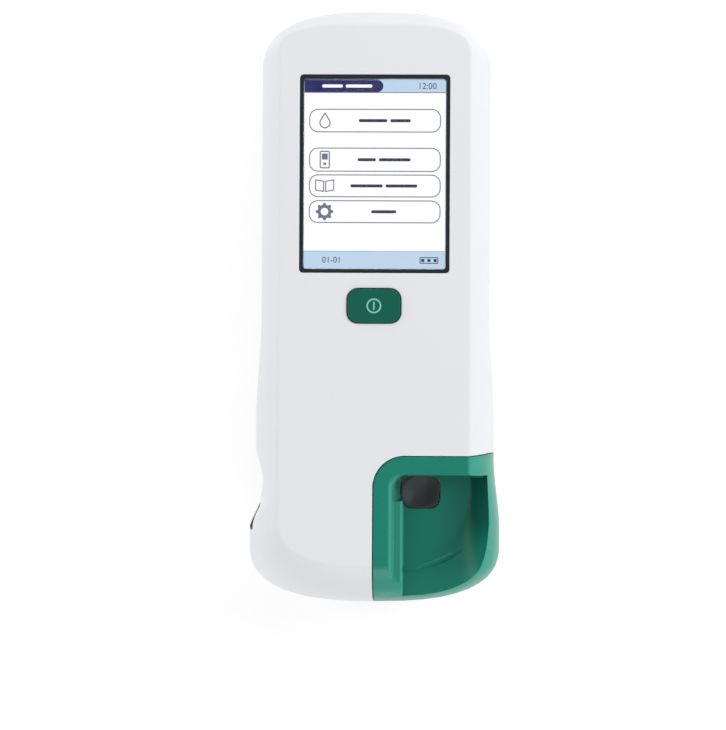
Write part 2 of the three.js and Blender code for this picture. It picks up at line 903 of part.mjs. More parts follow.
function crescentCutter() {
  const rings = [];
  for (let k = 1; k < endSteps; k += 1) {
    const t = k / endSteps;
    const angle = rad(crescent.fromAngle + (crescent.toAngle - crescent.fromAngle) * t);
    const thick = crescent.thick * Math.sin(Math.PI * t) ** (1 / 2);
    const z = bowlLevel(crescent.radius, angle) + crescent.lift;
    const ring = [];
    for (let side = 0; side < smallSides; side += 1) {
      const turn = (2 * Math.PI * side) / smallSides;
      const reach = crescent.radius + thick * Math.sin(turn);
      ring.push(
        new THREE.Vector3(
          port.ledgeRight + reach * Math.cos(angle),
          bowlTop + reach * Math.sin(angle),
          z + thick * Math.cos(turn),
        ),
      );
    }
    rings.push(ring);
  }
  return loft(rings);
}

function makePortCover() {
  const low = partingHeight + gap;
  const body = frontLoft(0, low, depth).intersect(portPrism(0, low, depth + overrun));
  const under = outlinePrism(port.skirt, low - overrun, coverUnderside).intersect(
    block(-overrun, port.skirtRight, -overrun, port.top + overrun, low - overrun, coverUnderside),
  );
  const pocketRight = innerWallAt(depth) - port.pocketWall;
  const pocket = block(
    port.pocketWall, pocketRight, port.pocketLow, port.pocketHigh,
    coverUnderside - overrun, depth - port.pocketDrop,
  );
  return cut(body, bowlCutter(), under, pocket, throatCutter(), crescentCutter());
}

// Strip guide, its lever and heater

function makeStripGuide() {
  const bodyLow = trayTop + gap;
  const tongueHigh = guideLow + throat.cornerRadius * 2;
  const tongue = roundedPlate(
    throat.left + gap, throat.right - gap, throat.low + gap, tongueHigh,
    bodyLow, channelFloor, throat.cornerRadius - gap, filletSteps,
  );
  let body = block(guideLeft, guideRight, guideLow, guide.end, bodyLow, roofTop);
  const channelEnd = guide.end - guide.endWall;
  body = cut(
    body,
    block(throat.left, throat.right, guideLow - overrun, channelEnd, channelFloor, channelRoof),
  );
  const earOuter = lever.width / 2 + gap + lever.earWidth;
  const springOuter = lever.width / 2 + lever.springRoom + lever.earWidth;
  const earTop = pivotZ + lever.earHalf;
  const earLow = lever.y - lever.earHalf;
  const earHigh = lever.y + lever.earHalf;
  const roofMiddle = roofTop - guide.roof / 2;
  body = join(
    body,
    tongue,
    block(guideX - earOuter, guideX - earOuter + lever.earWidth, earLow, earHigh, roofMiddle, earTop),
    block(guideX + springOuter - lever.earWidth, guideX + springOuter, earLow, earHigh, roofMiddle, earTop),
  );
  const windowLeft = throat.left + guide.windowMargin;
  const windowRight = throat.right - guide.windowMargin;
  const slotHalf = lever.width / 2 + lever.slotSide;
  const holes = [
    block(windowLeft, windowRight, guide.windowLow, guide.windowHigh, bodyLow - gap, roofTop + gap),
    block(
      guideX - slotHalf, guideX + slotHalf, lever.y - lever.slotBehind, lever.y + lever.slotAhead,
      channelRoof - gap, roofTop + gap,
    ),
    bar([guideX - springOuter - overrun, lever.y, pivotZ], [guideX + springOuter + overrun, lever.y, pivotZ],
      lever.pinRadius + gap),
    dishCutter(),
  ];
  for (const [x, y] of guidePosts()) {
    body = join(body, post(x, y, boardTop + gap, bodyLow + guide.tongueThickness / 2, guide.postRadius));
    holes.push(post(x, y, boardBottom, smallScrewTip() + gap, smallScrew.shankRadius + gap));
  }
  return cut(body, ...holes);
}

// A shallow dish in the strip mouth's tongue
function dishCutter() {
  const width = (throat.right - throat.left) / 2 - gap - guide.dishMargin;
  const high = throat.high;
  const low = throat.low + gap + guide.dishMargin;
  const geometry = new THREE.SphereGeometry(1, roundSides, smallSides);
  geometry.scale(width, (high - low) / 2, guide.dishDepth);
  geometry.translate(guideX, (high + low) / 2, channelFloor);
  return solidOf(geometry);
}

// Two posts carry the guide on the main board, at opposite corners
function guidePosts() {
  return [
    [guideLeft + guide.postRadius, guideLow + guide.postRadius],
    [guideRight - guide.postRadius, guide.end - guide.postSetback - guide.postRadius],
  ];
}

function smallScrewTip() {
  return boardBottom - gap + smallScrew.length;
}

function makeHeater() {
  const left = throat.left + guide.windowMargin + gap;
  const right = throat.right - guide.windowMargin - gap;
  const top = channelFloor - gap / 2;
  const low = guide.windowLow + gap;
  return block(left, right, low, guide.windowHigh - gap, top - guide.heaterThickness, top);
}

function makeLever() {
  const left = guideX - lever.width / 2;
  const right = guideX + lever.width / 2;
  const tip = channelFloor + lever.noseClear;
  const nose = sideProfile(
    [
      [lever.y - lever.hubRadius / 2, pivotZ - lever.hubRadius / 2],
      [lever.y + lever.noseReach - lever.noseWidth, tip + lever.noseWidth / 2],
      [lever.y + lever.noseReach - lever.noseWidth / 2, tip],
      [lever.y + lever.noseReach, tip],
      [lever.y + lever.noseReach + lever.noseWidth / 2, tip + lever.noseWidth / 2],
      [lever.y + lever.noseBack, pivotZ + lever.hubRadius / 2],
    ],
    left,
    right,
  );
  const hub = bar([left, lever.y, pivotZ], [right, lever.y, pivotZ], lever.hubRadius, roundSides);
  const half = lever.flagThickness / 2;
  const flag = block(
    left, right, lever.y - half, lever.y + half, pivotZ, pivotZ + lever.hubRadius + lever.flagHeight / 2);
  const bore = bar([left - overrun, lever.y, pivotZ], [right + overrun, lever.y, pivotZ],
    lever.pinRadius + gap);
  return cut(join(hub, nose, flag), bore);
}

function makeLeverPin() {
  const left = guideX - lever.width / 2 - gap - lever.earWidth - lever.pinOverhang;
  const right = guideX + lever.width / 2 + lever.springRoom + lever.earWidth + lever.pinOverhang;
  return bar([left, lever.y, pivotZ], [right, lever.y, pivotZ], lever.pinRadius, smallSides);
}

function makeLeverSpring() {
  const from = guideX + lever.width / 2 + gap + lever.coilWire;
  const to = guideX + lever.width / 2 + lever.springRoom - gap - lever.coilWire;
  const points = [];
  const steps = lever.coilTurns * coilSteps;
  for (let k = 0; k <= steps; k += 1) {
    const turn = (2 * Math.PI * lever.coilTurns * k) / steps;
    const x = from + ((to - from) * k) / steps;
    const y = lever.y + lever.coilRadius * Math.cos(turn);
    points.push(new THREE.Vector3(x, y, pivotZ + lever.coilRadius * Math.sin(turn)));
  }
  return wire(points, lever.coilWire, steps);
}

// A round wire along points
function wire(points, radius, steps) {
  const path = new THREE.CatmullRomCurve3(points);
  const shape = new THREE.Shape();
  shape.absarc(0, 0, radius, 0, Math.PI * 2, false);
  const geometry = new THREE.ExtrudeGeometry(shape, { steps, extrudePath: path, curveSegments: wireSteps });
  return solidOf(geometry);
}

// Optics

function makeOpticsHousing() {
  const low = roofTop + gap;
  const high = frontInside - gap;
  const inLeft = guideLeft + optics.wall;
  const inRight = guideRight - optics.wall;
  const inLow = optics.low + optics.wall;
  const inHigh = optics.high - optics.wall;
  const box = block(guideLeft, guideRight, optics.low, optics.high, low, high);
  const hollow = block(inLeft, inRight, inLow, inHigh, low - gap, high - optics.lid);
  const half = optics.holder / 2;
  const middle = high - optics.lid / 2;
  const holder = block(
    inLeft - optics.wall / 2, inRight + optics.wall / 2, optics.lensY - half, optics.lensY + half,
    lensZ - optics.holderDrop, middle,
  );
  const bore = bar([guideX, optics.lensY - overrun, lensZ], [guideX, optics.lensY + overrun, lensZ],
    optics.lensRadius + gap, roundSides).intersect(
    block(inLeft, inRight, optics.lensY - optics.holder, optics.lensY + optics.holder, low, high));
  return cut(join(cut(box, hollow), holder), bore);
}

function makeLens() {
  const half = optics.lensThickness / 2;
  const profile = [new THREE.Vector2(0, -half)];
  for (let k = 1; k <= filletSteps; k += 1) {
    const t = k / filletSteps;
    profile.push(new THREE.Vector2(optics.lensRadius * t, -half * (1 - t ** 2 / 2)));
  }
  for (let k = filletSteps; k >= 1; k -= 1) {
    const t = k / filletSteps;
    profile.push(new THREE.Vector2(optics.lensRadius * t, half * (1 - t ** 2 / 2)));
  }
  profile.push(new THREE.Vector2(0, half));
  const geometry = new THREE.LatheGeometry(profile, smallSides);
  geometry.translate(guideX, optics.lensY, lensZ);
  return solidOf(geometry);
}

function makeImager() {
  const low = optics.low + optics.wall + gap;
  return block(
    guideX - optics.imagerHalfWidth, guideX + optics.imagerHalfWidth, low, low + optics.imagerThickness,
    lensZ - optics.imagerHalfHeight, lensZ + optics.imagerHalfHeight,
  );
}

function makeMirror() {
  const geometry = new THREE.BoxGeometry(
    optics.mirrorHalfWidth * 2, optics.mirrorLength, optics.mirrorThickness);
  geometry.rotateX(Math.PI / 4);
  geometry.translate(guideX, optics.mirrorY, lensZ);
  return solidOf(geometry);
}

// A ring of lights on the front of the lens holder
function makeLightRing() {
  const low = optics.lensY + optics.holder / 2 + gap;
  const high = low + optics.ringThickness;
  const disc = (radius, from, to) =>
    bar([guideX, from, lensZ], [guideX, to, lensZ], radius, roundSides);
  const ring = cut(disc(optics.ringRadius, low, high), disc(optics.lensRadius, low - gap, high + gap));
  const middle = (optics.ringRadius + optics.lensRadius) / 2;
  const lamps = [-1, 1].map((side) => {
    const x = guideX + side * middle;
    return bar([x, high - gap, lensZ], [x, high + optics.lampHeight, lensZ], optics.lampRadius);
  });
  return join(ring, ...lamps);
}

function makeDetector() {
  const low = optics.high + gap;
  return block(
    guideX - optics.detectorHalfWidth, guideX + optics.detectorHalfWidth, low,
    low + optics.detectorThickness, pivotZ + lever.pinRadius, pivotZ + lever.flagHeight,
  );
}

// Display module

function makeBezel() {
  const ring = cut(
    displayPlate(0, flangeTop - overrun / 2, rimTop),
    displayPlate(-display.rim, flangeBottom - overrun, rimTop + overrun),
  );
  const flange = displayPlate(display.flange, flangeBottom, flangeTop);
  const cavity = displayPlate(gap - display.panelMargin, flangeBottom - overrun, windowBottom);
  const slotHalf = display.ribbonHalfWidth + gap;
  const slot = block(
    -slotHalf, slotHalf, displayLow - display.flange - overrun, displayLow + overrun,
    backlightBottom, backlightBottom + display.ribbonThickness + 2 * gap,
  );
  const through = displayPlate(-display.rim, flangeBottom - overrun, rimTop + overrun);
  return cut(join(ring, flange), cavity, through, slot);
}

function makeWindow() {
  return displayPlate(-display.rim - gap, windowBottom, windowTop);
}

function makePanel() {
  return displayPlate(-display.panelMargin, panelBottom, panelTop);
}

function makeBacklight() {
  return displayPlate(-display.panelMargin, backlightBottom, backlightTop);
}

function makeDisplayPlate() {
  const half = display.width / 2 + display.flange;
  const earX = displayBossX + display.bossRadius;
  const earHalf = display.earWidth / 2;
  const ys = [displayLow + display.earMargin, displayHigh - display.earMargin];
  const right = [[half, displayLow - display.flange]];
  ys.forEach((y) => right.push(
    [half, y - earHalf], [earX, y - earHalf], [earX, y + earHalf], [half, y + earHalf]));
  right.push([half, displayHigh + display.flange]);
  const left = right.map(([x, y]) => [-x, y]).reverse();
  const outline = [...right, ...left].map(([x, y]) => new THREE.Vector2(x, y));
  const holes = ys.flatMap((y) =>
    [-1, 1].map((side) =>
      post(side * displayBossX, y, plateBottom - gap, plateTop + gap, smallScrew.shankRadius + gap)));
  return cut(raise(new THREE.Shape(outline), plateBottom, plateTop), ...holes);
}

function makeRibbon() {
  const thick = display.ribbonThickness;
  const upper = backlightBottom + gap;
  const lower = boardTop + gap;
  const start = displayLow;
  const drop = displayLow - display.flange - display.ribbonReach / 2;
  const end = drop - display.ribbonLap;
  return sideProfile(
    [
      [start, upper],
      [start, upper + thick],
      [drop - thick, upper + thick],
      [drop - thick, lower + thick],
      [end, lower + thick],
      [end, lower],
      [drop, lower],
      [drop, upper],
    ],
    -display.ribbonHalfWidth,
    display.ribbonHalfWidth,
  );
}

// Power button and switch

function makeButton() {
  const half = button.width / 2 - button.edge;
  const low = buttonY - button.height / 2 + button.edge;
  const high = buttonY + button.height / 2 - button.edge;
  const shape = roundedShape(-half, half, low, high, button.radius - button.edge);
  const geometry = new THREE.ExtrudeGeometry(shape, {
    depth: depth + button.proud - flangeTop,
    bevelEnabled: true,
    bevelSize: button.edge,
    bevelThickness: button.edge,
    bevelSegments: edgeSteps,
    curveSegments: filletSteps,
  });
  geometry.translate(0, 0, flangeTop - button.edge);
  return join(solidOf(geometry), buttonPlate(button.flange, buttonBottom, flangeTop));
}

function makeSwitchBody() {
  const half = powerSwitch.halfSize;
  const body = block(-half, half, buttonY - half, buttonY + half, switchBottom, switchTop);
  const bore = post(0, buttonY, plungerBottom - button.travel - gap, switchTop + overrun,
    powerSwitch.boreRadius, roundSides);
  return cut(body, bore);
}

function makePlunger() {
  return post(0, buttonY, plungerBottom, buttonBottom - gap, powerSwitch.plungerRadius, roundSides);
}

function makeSwitchBoard() {
  const halfX = powerSwitch.boardHalfWidth;
  const halfY = powerSwitch.boardHalfHeight;
  const plate = roundedPlate(-halfX, halfX, buttonY - halfY, buttonY + halfY,
    switchBoardBottom, switchBoardTop, powerSwitch.boardCorner);
  const hole = (side) => post(side * powerSwitch.bossX, buttonY, switchBoardBottom - gap,
    switchBoardTop + gap, smallScrew.shankRadius + gap);
  return cut(plate, mirrored(hole));
}

// Boards and what stands on them

function makeMainBoard() {
  const plate = roundedPlate(-boardHalf, boardHalf, board.low, boardHigh, boardBottom, boardTop,
    board.cornerRadius);
  const places = [...boardScrewPlaces(), ...guidePosts()];
  const holes = places.map(([x, y]) =>
    post(x, y, boardBottom - gap, boardTop + gap, smallScrew.shankRadius + gap));
  return cut(plate, ...holes);
}

function boardScrewPlaces() {
  return [-1, 1].flatMap((side) => [
    [side * boardBoss.x, boardBoss.base],
    [side * boardBoss.x, boardBossUpper],
  ]);
}

function makeChip({ x, y, halfX, halfY }) {
  const low = boardTop + gap;
  return block(x - halfX, x + halfX, y - halfY, y + halfY, low, low + chips.height);
}

function standing(values, x) {
  return post(x, values.y, boardTop + gap, boardTop + gap + values.height, values.radius, roundSides);
}

// Code chip socket: its mouth follows the slanted flank
function flankInsideAt(y) {
  return -(widestHalf(y) - scoopAt(y)) + wall;
}

function makeChipSocket() {
  const margin = chipSlot.socketWall;
  const low = chipSlot.low - margin;
  const high = chipSlot.high + margin;
  const top = partingHeight + chipSlot.rise + chipSlot.height + margin;
  const clear = flankShare(top) * flankRun + chipSlot.mouthClear;
  const shape = new THREE.Shape();
  shape.moveTo(flankInsideAt(low) + clear, low);
  shape.lineTo(socketRight, low);
  shape.lineTo(socketRight, high);
  shape.lineTo(flankInsideAt(high) + clear, high);
  shape.lineTo(flankInsideAt((low + high) / 2) + clear, (low + high) / 2);
  const slotLow = partingHeight + chipSlot.rise;
  const body = raise(shape, boardTop + gap, top);
  const slot = block(-baseHalfWidth, socketLeft + chipSlot.socketDepth, chipSlot.low, chipSlot.high,
    slotLow, slotLow + chipSlot.height);
  return cut(body, slot);
}

function makeChipContacts() {
  const low = partingHeight + chipSlot.rise + gap;
  const right = socketLeft + chipSlot.socketDepth - gap;
  const pitch = (chipSlot.high - chipSlot.low) / (chipSlot.contactCount + 1);
  const strips = [];
  for (let k = 1; k <= chipSlot.contactCount; k += 1) {
    const y = chipSlot.low + pitch * k;
    strips.push(block(right - chipSlot.contactLength, right, y - chipSlot.contactHalfWidth,
      y + chipSlot.contactHalfWidth, low, low + chipSlot.contactHalfWidth));
  }
  const back = block(right - chipSlot.contactHalfWidth, right, chipSlot.low + pitch, chipSlot.high - pitch,
    low, low + chipSlot.contactHalfWidth);
  return join(back, ...strips);
}

// Battery, contacts and door

function makeBattery() {
  return roundedPlate(-battery.halfWidth, battery.halfWidth, batteryLow, batteryLow + battery.length,
    batteryBottom, batteryTop, battery.edgeRadius);
}

function makeContacts() {
  const low = bayLow + gap;
  const high = low + contacts.thickness;
  const body = block(-contacts.halfWidth, contacts.halfWidth, low, high, bayRoof - contacts.height, bayTop);
  const grooves = [-1, 0, 1].map((k) =>
    block(k * contacts.groovePitch - contacts.grooveHalf, k * contacts.groovePitch + contacts.grooveHalf,
      high - contacts.grooveDepth, high + gap, bayRoof - contacts.height - gap, bayRoof - gap));
  return cut(body, ...grooves);
}

function doorShape(grow) {
  const half = door.halfWidth + grow;
  const endHalf = door.halfWidth + door.railReach + gap + door.railFoot / 2 + grow;
  const endLow = length - door.endLength - grow;
  const low = doorLow - grow;
  const radius = door.cornerRadius;
  const shape = new THREE.Shape();
  shape.moveTo(-half + radius, low);
  shape.lineTo(half - radius, low);
  shape.absarc(half - radius, low + radius, radius, -Math.PI / 2, 0, false);
  shape.lineTo(half, endLow);
  shape.lineTo(endHalf, endLow);
  shape.lineTo(endHalf, length + overrun);
  shape.lineTo(-endHalf, length + overrun);
  shape.lineTo(-endHalf, endLow);
  shape.lineTo(-half, endLow);
  shape.absarc(-half + radius, low + radius, radius, Math.PI, Math.PI * 1.5, false);
  return shape;
}

function makeDoor() {
  const skin = cut(
    backLoft(0, backLevel, partingHeight).intersect(raise(doorShape(0), 0, door.height)),
    backLoft(door.thickness, backLevel + door.thickness, partingHeight + overrun),
  );
  const inside = backLevel + door.thickness;
  const rails = mirrored((side) => {
    const inner = door.halfWidth - door.railFoot;
    const reach = door.halfWidth + door.railReach;
    const ys = [doorLow + door.railMargin, bayHigh - door.railLength - door.railMargin];
    const rails = ys.flatMap((y) => [
      block(inner, door.halfWidth, y, y + door.railLength, inside - door.thickness / 2, railTop),
      block(inner, reach, y, y + door.railLength, railBottom, railTop),
    ]);
    return side > 0 ? join(...rails) : join(...rails).mirror([1, 0, 0]);
  });
  const grips = [];
  for (let k = 0; k < door.gripCount; k += 1) {
    const y = doorLow + door.gripLow + k * door.gripPitch;
    grips.push(block(-door.gripHalf, door.gripHalf, y, y + door.gripWidth, 0, backLevel + door.gripDepth));
  }
  return cut(join(skin, rails), ...grips);
}

function makePad() {
  const half = door.halfWidth - door.railFoot - gap - door.railReach;
  return roundedPlate(-half, half, batteryLow + door.padMargin, batteryLow + battery.length - door.padMargin,
    backLevel + door.thickness + gap, batteryBottom - gap, battery.edgeRadius);
}

// Rear shell

function makeBay() {
  const outerHalf = bayHalf + bay.wall;
  const keelLeft = door.halfWidth + door.railReach + gap;
  const body = block(-outerHalf, outerHalf, bayLow - bay.wall, bayHigh + bay.wall, webBottom, bayTop);
  const web = block(-keelLeft - bay.keel, keelLeft + bay.keel, bayLow - bay.wall, bayHigh + bay.wall,
    webBottom, webBottom + bay.web);
  const keel = mirrored((side) => {
    const middle = side * (keelLeft + bay.keel / 2);
    return block(middle - bay.keel / 2, middle + bay.keel / 2, bayLow - bay.wall, bayHigh + bay.wall,
      backLevel + wall / 2, webBottom + bay.web);
  });
  const hollow = block(-bayHalf, bayHalf, bayLow, bayHigh, webBottom - overrun, bayRoof);
  const contactHole = block(-contacts.halfWidth - gap, contacts.halfWidth + gap, bayLow,
    bayLow + contacts.thickness + 2 * gap, bayRoof - gap, bayTop + gap);
  return cut(join(body, web, keel), hollow, contactHole);
}

function jackFace() {
  const bottom = boardBottom - gap - jack.height;
  return headHalfWidth - wall - back.inset * backShare(bottom) - jack.faceClear;
}

function jackNoseEnd() {
  return headHalfWidth - back.inset * backShare(boardBottom - gap - jack.height / 2) - jack.recess;
}

function makeRearShell() {
  const skin = cut(
    backLoft(0, backLevel, partingHeight),
    backLoft(wall, backLevel + wall, partingHeight + overrun),
    raise(doorShape(gap), 0, door.height + gap),
  );
  let shell = join(skin, makeBay());
  const holes = [];
  for (const side of [-1, 1]) {
    for (const y of screwHeights) {
      const x = side * screw.x;
      const boss = post(x, y, backLevel + wall / 2, partingHeight, screw.bossRadius);
      shell = join(shell, boss);
      holes.push(post(x, y, backLevel - overrun, screw.seat, screw.headRadius + gap, roundSides));
      const radius = screw.shankRadius + gap;
      holes.push(post(x, y, screw.seat - gap, partingHeight + overrun, radius, shankSides));
    }
    footHeights.forEach((y) =>
      holes.push(footPlate(side, y, gap, backLevel - overrun, backLevel + foot.recess)));
  }
  for (const [x, y] of boardScrewPlaces()) {
    shell = join(shell, post(x, y, backLevel + wall / 2, boardBottom - gap, boardBoss.radius, shankSides));
    const low = boardTop - smallScrew.length - gap;
    holes.push(post(x, y, low, partingHeight, smallScrew.shankRadius + gap, shankSides));
  }
  const jackZ = boardBottom - gap - jack.height / 2;
  holes.push(bar([jackFace() - gap, jackY, jackZ], [headHalfWidth + overrun, jackY, jackZ],
    jack.noseRadius + gap, roundSides));
  holes.push(windowBlock(gap));
  return cut(shell, ...holes);
}

function footPlate(side, y, grow, z0, z1) {
  const x = side * foot.x;
  const halfX = foot.halfWidth + grow;
  const halfY = foot.halfLength + grow;
  const radius = foot.cornerRadius + grow;
  return roundedPlate(x - halfX, x + halfX, y - halfY, y + halfY, z0, z1, radius, footSteps);
}

function windowBlock(grow) {
  return block(-dataWindow.halfWidth - grow, dataWindow.halfWidth + grow, length - outer.headCap / 2,
    length + overrun, dataWindow.low - grow, dataWindow.high + grow);
}

function makeDataWindow() {
  const skin = cut(
    backLoft(0, backLevel, partingHeight),
    backLoft(dataWindow.thickness, backLevel + wall, partingHeight + overrun),
  );
  return skin.intersect(windowBlock(0));
}

function makeTransceiver() {
  const low = boardHigh - transceiver.setback;
  const high = low + transceiver.length;
  const top = boardBottom - gap;
  const half = transceiver.halfWidth;
  const domes = mirrored((side) => {
    const geometry = new THREE.SphereGeometry(transceiver.domeRadius, smallSides, smallSides / 2);
    geometry.translate((side * half) / 2, high, top - transceiver.height / 2);
    return solidOf(geometry);
  });
  return join(block(-half, half, low, high, top - transceiver.height, top), domes);
}

function makeJack() {
  const top = boardBottom - gap;
  const z = top - jack.height / 2;
  const face = jackFace();
  const inner = bayHalf + bay.wall + gap;
  const body = block(inner, face, jackY - jack.halfWidth, jackY + jack.halfWidth, top - jack.height, top);
  const nose = bar([face - gap, jackY, z], [jackNoseEnd(), jackY, z], jack.noseRadius, roundSides);
  const bore = bar([inner + jack.boreEnd, jackY, z], [headHalfWidth + overrun, jackY, z],
    jack.boreRadius, roundSides);
  const pin = bar([inner + gap, jackY, z], [jackNoseEnd() - jack.pinRecess, jackY, z], jack.pinRadius);
  return join(cut(join(body, nose), bore), pin);
}

// Fasteners and feet

function makeHousingScrew(x, y) {
  const top = screw.seat - gap;
  const head = post(x, y, top - screw.headHeight, top, screw.headRadius, smallSides);
  const shank = post(x, y, top - gap, screwTip, screw.shankRadius, shankSides);
  const socket = post(x, y, top - screw.headHeight - gap, top - screw.headHeight / 2,
    screw.socketRadius, socketSides);
  return cut(join(head, shank), socket);
}

// A small screw whose tip points up or down from its seat
function makeSmallScrew(x, y, seat, upward) {
  const way = upward ? 1 : -1;
  const span = (a, b, radius, sides) => post(x, y, Math.min(a, b), Math.max(a, b), radius, sides);
  const headEnd = seat - way * smallScrew.headHeight;
  const head = span(seat, headEnd, smallScrew.headRadius, shankSides);
  const shank = span(seat - way * gap, seat + way * smallScrew.length, smallScrew.shankRadius, shankSides);
  const socket = span(headEnd - way * gap, headEnd + (way * smallScrew.headHeight) / 2,
    smallScrew.socketRadius, socketSides);
  return cut(join(head, shank), socket);
}

// Looks of the pieces
const shellWhite = { color: 0xe6e8ec, roughness: 0.42, metalness: 0 };
const portGreen = { color: 0x23866c, roughness: 0.45, metalness: 0 };
const buttonGreen = { color: 0x14574b, roughness: 0.4, metalness: 0 };
const blackPlastic = { color: 0x2a2d30, roughness: 0.6, metalness: 0 };
const bezelBlack = { color: 0x1b2026, roughness: 0.35, metalness: 0 };
const glass = { color: 0xf4f7fb, roughness: 0.08, metalness: 0 };
const lcdWhite = { color: 0xdfe6ee, roughness: 0.3, metalness: 0 };
const boardGreen = { color: 0x1d5a36, roughness: 0.5, metalness: 0 };
const chipBlack = { color: 0x202123, roughness: 0.5, metalness: 0 };
const steel = { color: 0xb8bcc0, roughness: 0.3, metalness: 1 };
const brass = { color: 0xc9a04e, roughness: 0.3, metalness: 1 };
const aluminium = { color: 0xc4c7ca, roughness: 0.35, metalness: 1 };
const mirrorSilver = { color: 0xe8eaec, roughness: 0.05, metalness: 1 };
const rubber = { color: 0x53575b, roughness: 0.9, metalness: 0 };
const foam = { color: 0x3c3f42, roughness: 1, metalness: 0 };
const batteryBlue = { color: 0x2f3d52, roughness: 0.45, metalness: 0 };
const filterRed = { color: 0x2a0c10, roughness: 0.1, metalness: 0 };
const ribbonAmber = { color: 0xb8792e, roughness: 0.4, metalness: 0 };

// The scene graph: the reader is raised from its base end to its own centre
const root = new THREE.Group();
const reader = new THREE.Group();
reader.position.y = -length / 2;
root.add(reader);

function assembly() {
  const group = new THREE.Group();
  reader.add(group);
  return group;
}

function place(group, name, solid, look) {
  const mesh = new THREE.Mesh(geometryOf(solid), new THREE.MeshStandardMaterial(look));
  mesh.name = name;
  group.add(mesh);
}

const sides = [[-1, "left"], [1, "right"]];

const housing = assembly();
place(housing, "front_shell", makeFrontShell(), shellWhite);
place(housing, "rear_shell", makeRearShell(), shellWhite);
place(housing, "data_window", makeDataWindow(), filterRed);
for (const [side, across] of sides) {
  screwHeights.forEach((y, k) => {
    const name = ["lower", "middle", "upper"][k] + "_" + across + "_housing_screw";
    place(housing, name, makeHousingScrew(side * screw.x, y), steel);
  });
}
for (const [side, across] of sides) {
  footHeights.forEach((y, k) => {
    const name = ["lower", "upper"][k] + "_" + across + "_foot";
    const solid = footPlate(side, y, 0, 0, backLevel + foot.recess - gap);
    place(housing, name, solid, rubber);
  });
}

const screen = assembly();
place(screen, "display_bezel", makeBezel(), bezelBlack);
place(screen, "display_window", makeWindow(), glass);
place(screen, "lcd_panel", makePanel(), lcdWhite);
place(screen, "backlight", makeBacklight(), lcdWhite);
place(screen, "display_plate", makeDisplayPlate(), steel);
place(screen, "lcd_ribbon", makeRibbon(), ribbonAmber);
for (const [side, across] of sides) {
  [displayLow + display.earMargin, displayHigh - display.earMargin].forEach((y, k) => {
    const name = ["lower", "upper"][k] + "_" + across + "_display_screw";
    place(screen, name, makeSmallScrew(side * displayBossX, y, plateBottom - gap, true), steel);
  });
}

const power = assembly();
place(power, "power_button", makeButton(), buttonGreen);
place(power, "switch_plunger", makePlunger(), chipBlack);
place(power, "power_switch", makeSwitchBody(), chipBlack);
place(power, "switch_board", makeSwitchBoard(), boardGreen);
for (const [side, across] of sides) {
  const solid = makeSmallScrew(side * powerSwitch.bossX, buttonY, switchBoardBottom - gap, true);
  place(power, across + "_switch_board_screw", solid, steel);
}

const stripPort = assembly();
place(stripPort, "port_cover", makePortCover(), portGreen);
place(stripPort, "strip_guide", makeStripGuide(), blackPlastic);
place(stripPort, "heater_plate", makeHeater(), aluminium);
place(stripPort, "strip_lever", makeLever(), blackPlastic);
place(stripPort, "lever_pin", makeLeverPin(), steel);
place(stripPort, "lever_spring", makeLeverSpring(), steel);
guidePosts().forEach(([x, y], k) => {
  const name = ["lower", "upper"][k] + "_guide_screw";
  place(stripPort, name, makeSmallScrew(x, y, boardBottom - gap, true), steel);
});

const reading = assembly();
place(reading, "optics_housing", makeOpticsHousing(), blackPlastic);
place(reading, "optics_lens", makeLens(), glass);
place(reading, "optics_mirror", makeMirror(), mirrorSilver);
place(reading, "image_sensor", makeImager(), chipBlack);
place(reading, "strip_light_ring", makeLightRing(), lcdWhite);
place(reading, "lever_detector", makeDetector(), chipBlack);

const electronics = assembly();
place(electronics, "main_board", makeMainBoard(), boardGreen);
place(electronics, "processor", makeChip(chips.processor), chipBlack);
place(electronics, "memory_chip", makeChip(chips.memory), chipBlack);
place(electronics, "buzzer", standing(buzzer, buzzer.x), chipBlack);
place(electronics, "clock_cell", standing(clockCell, clockCellX), steel);
for (const [side, across] of sides) {
  [boardBoss.base, boardBossUpper].forEach((y, k) => {
    const name = ["lower", "upper"][k] + "_" + across + "_board_screw";
    place(electronics, name, makeSmallScrew(side * boardBoss.x, y, boardTop + gap, false), steel);
  });
}
place(electronics, "chip_socket", makeChipSocket(), blackPlastic);
place(electronics, "chip_contacts", makeChipContacts(), brass);
place(electronics, "data_transceiver", makeTransceiver(), filterRed);
place(electronics, "power_jack", makeJack(), blackPlastic);

const energy = assembly();
place(energy, "battery_pack", makeBattery(), batteryBlue);
place(energy, "battery_contacts", makeContacts(), brass);
place(energy, "battery_door", makeDoor(), shellWhite);
place(energy, "door_pad", makePad(), foam);

export default root;
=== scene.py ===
import json
import math

import bmesh
import bpy
from mathutils import Matrix, Vector
from mathutils.bvhtree import BVHTree
from mathutils.interpolate import poly_3d_calc


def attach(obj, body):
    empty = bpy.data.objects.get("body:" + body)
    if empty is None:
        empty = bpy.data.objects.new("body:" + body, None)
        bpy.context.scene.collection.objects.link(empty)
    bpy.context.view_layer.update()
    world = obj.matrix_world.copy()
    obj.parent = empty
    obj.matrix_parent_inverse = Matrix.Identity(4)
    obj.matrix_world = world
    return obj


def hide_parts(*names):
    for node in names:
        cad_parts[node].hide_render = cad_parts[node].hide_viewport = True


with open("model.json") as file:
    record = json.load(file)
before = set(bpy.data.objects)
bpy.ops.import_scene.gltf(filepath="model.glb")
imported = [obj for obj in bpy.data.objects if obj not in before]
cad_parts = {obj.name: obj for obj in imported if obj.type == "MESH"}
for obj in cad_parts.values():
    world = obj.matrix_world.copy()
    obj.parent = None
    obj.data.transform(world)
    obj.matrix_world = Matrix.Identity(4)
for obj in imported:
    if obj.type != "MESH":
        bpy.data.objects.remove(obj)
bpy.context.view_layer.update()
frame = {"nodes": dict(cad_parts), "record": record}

nodes = frame["nodes"]
scene = bpy.context.scene
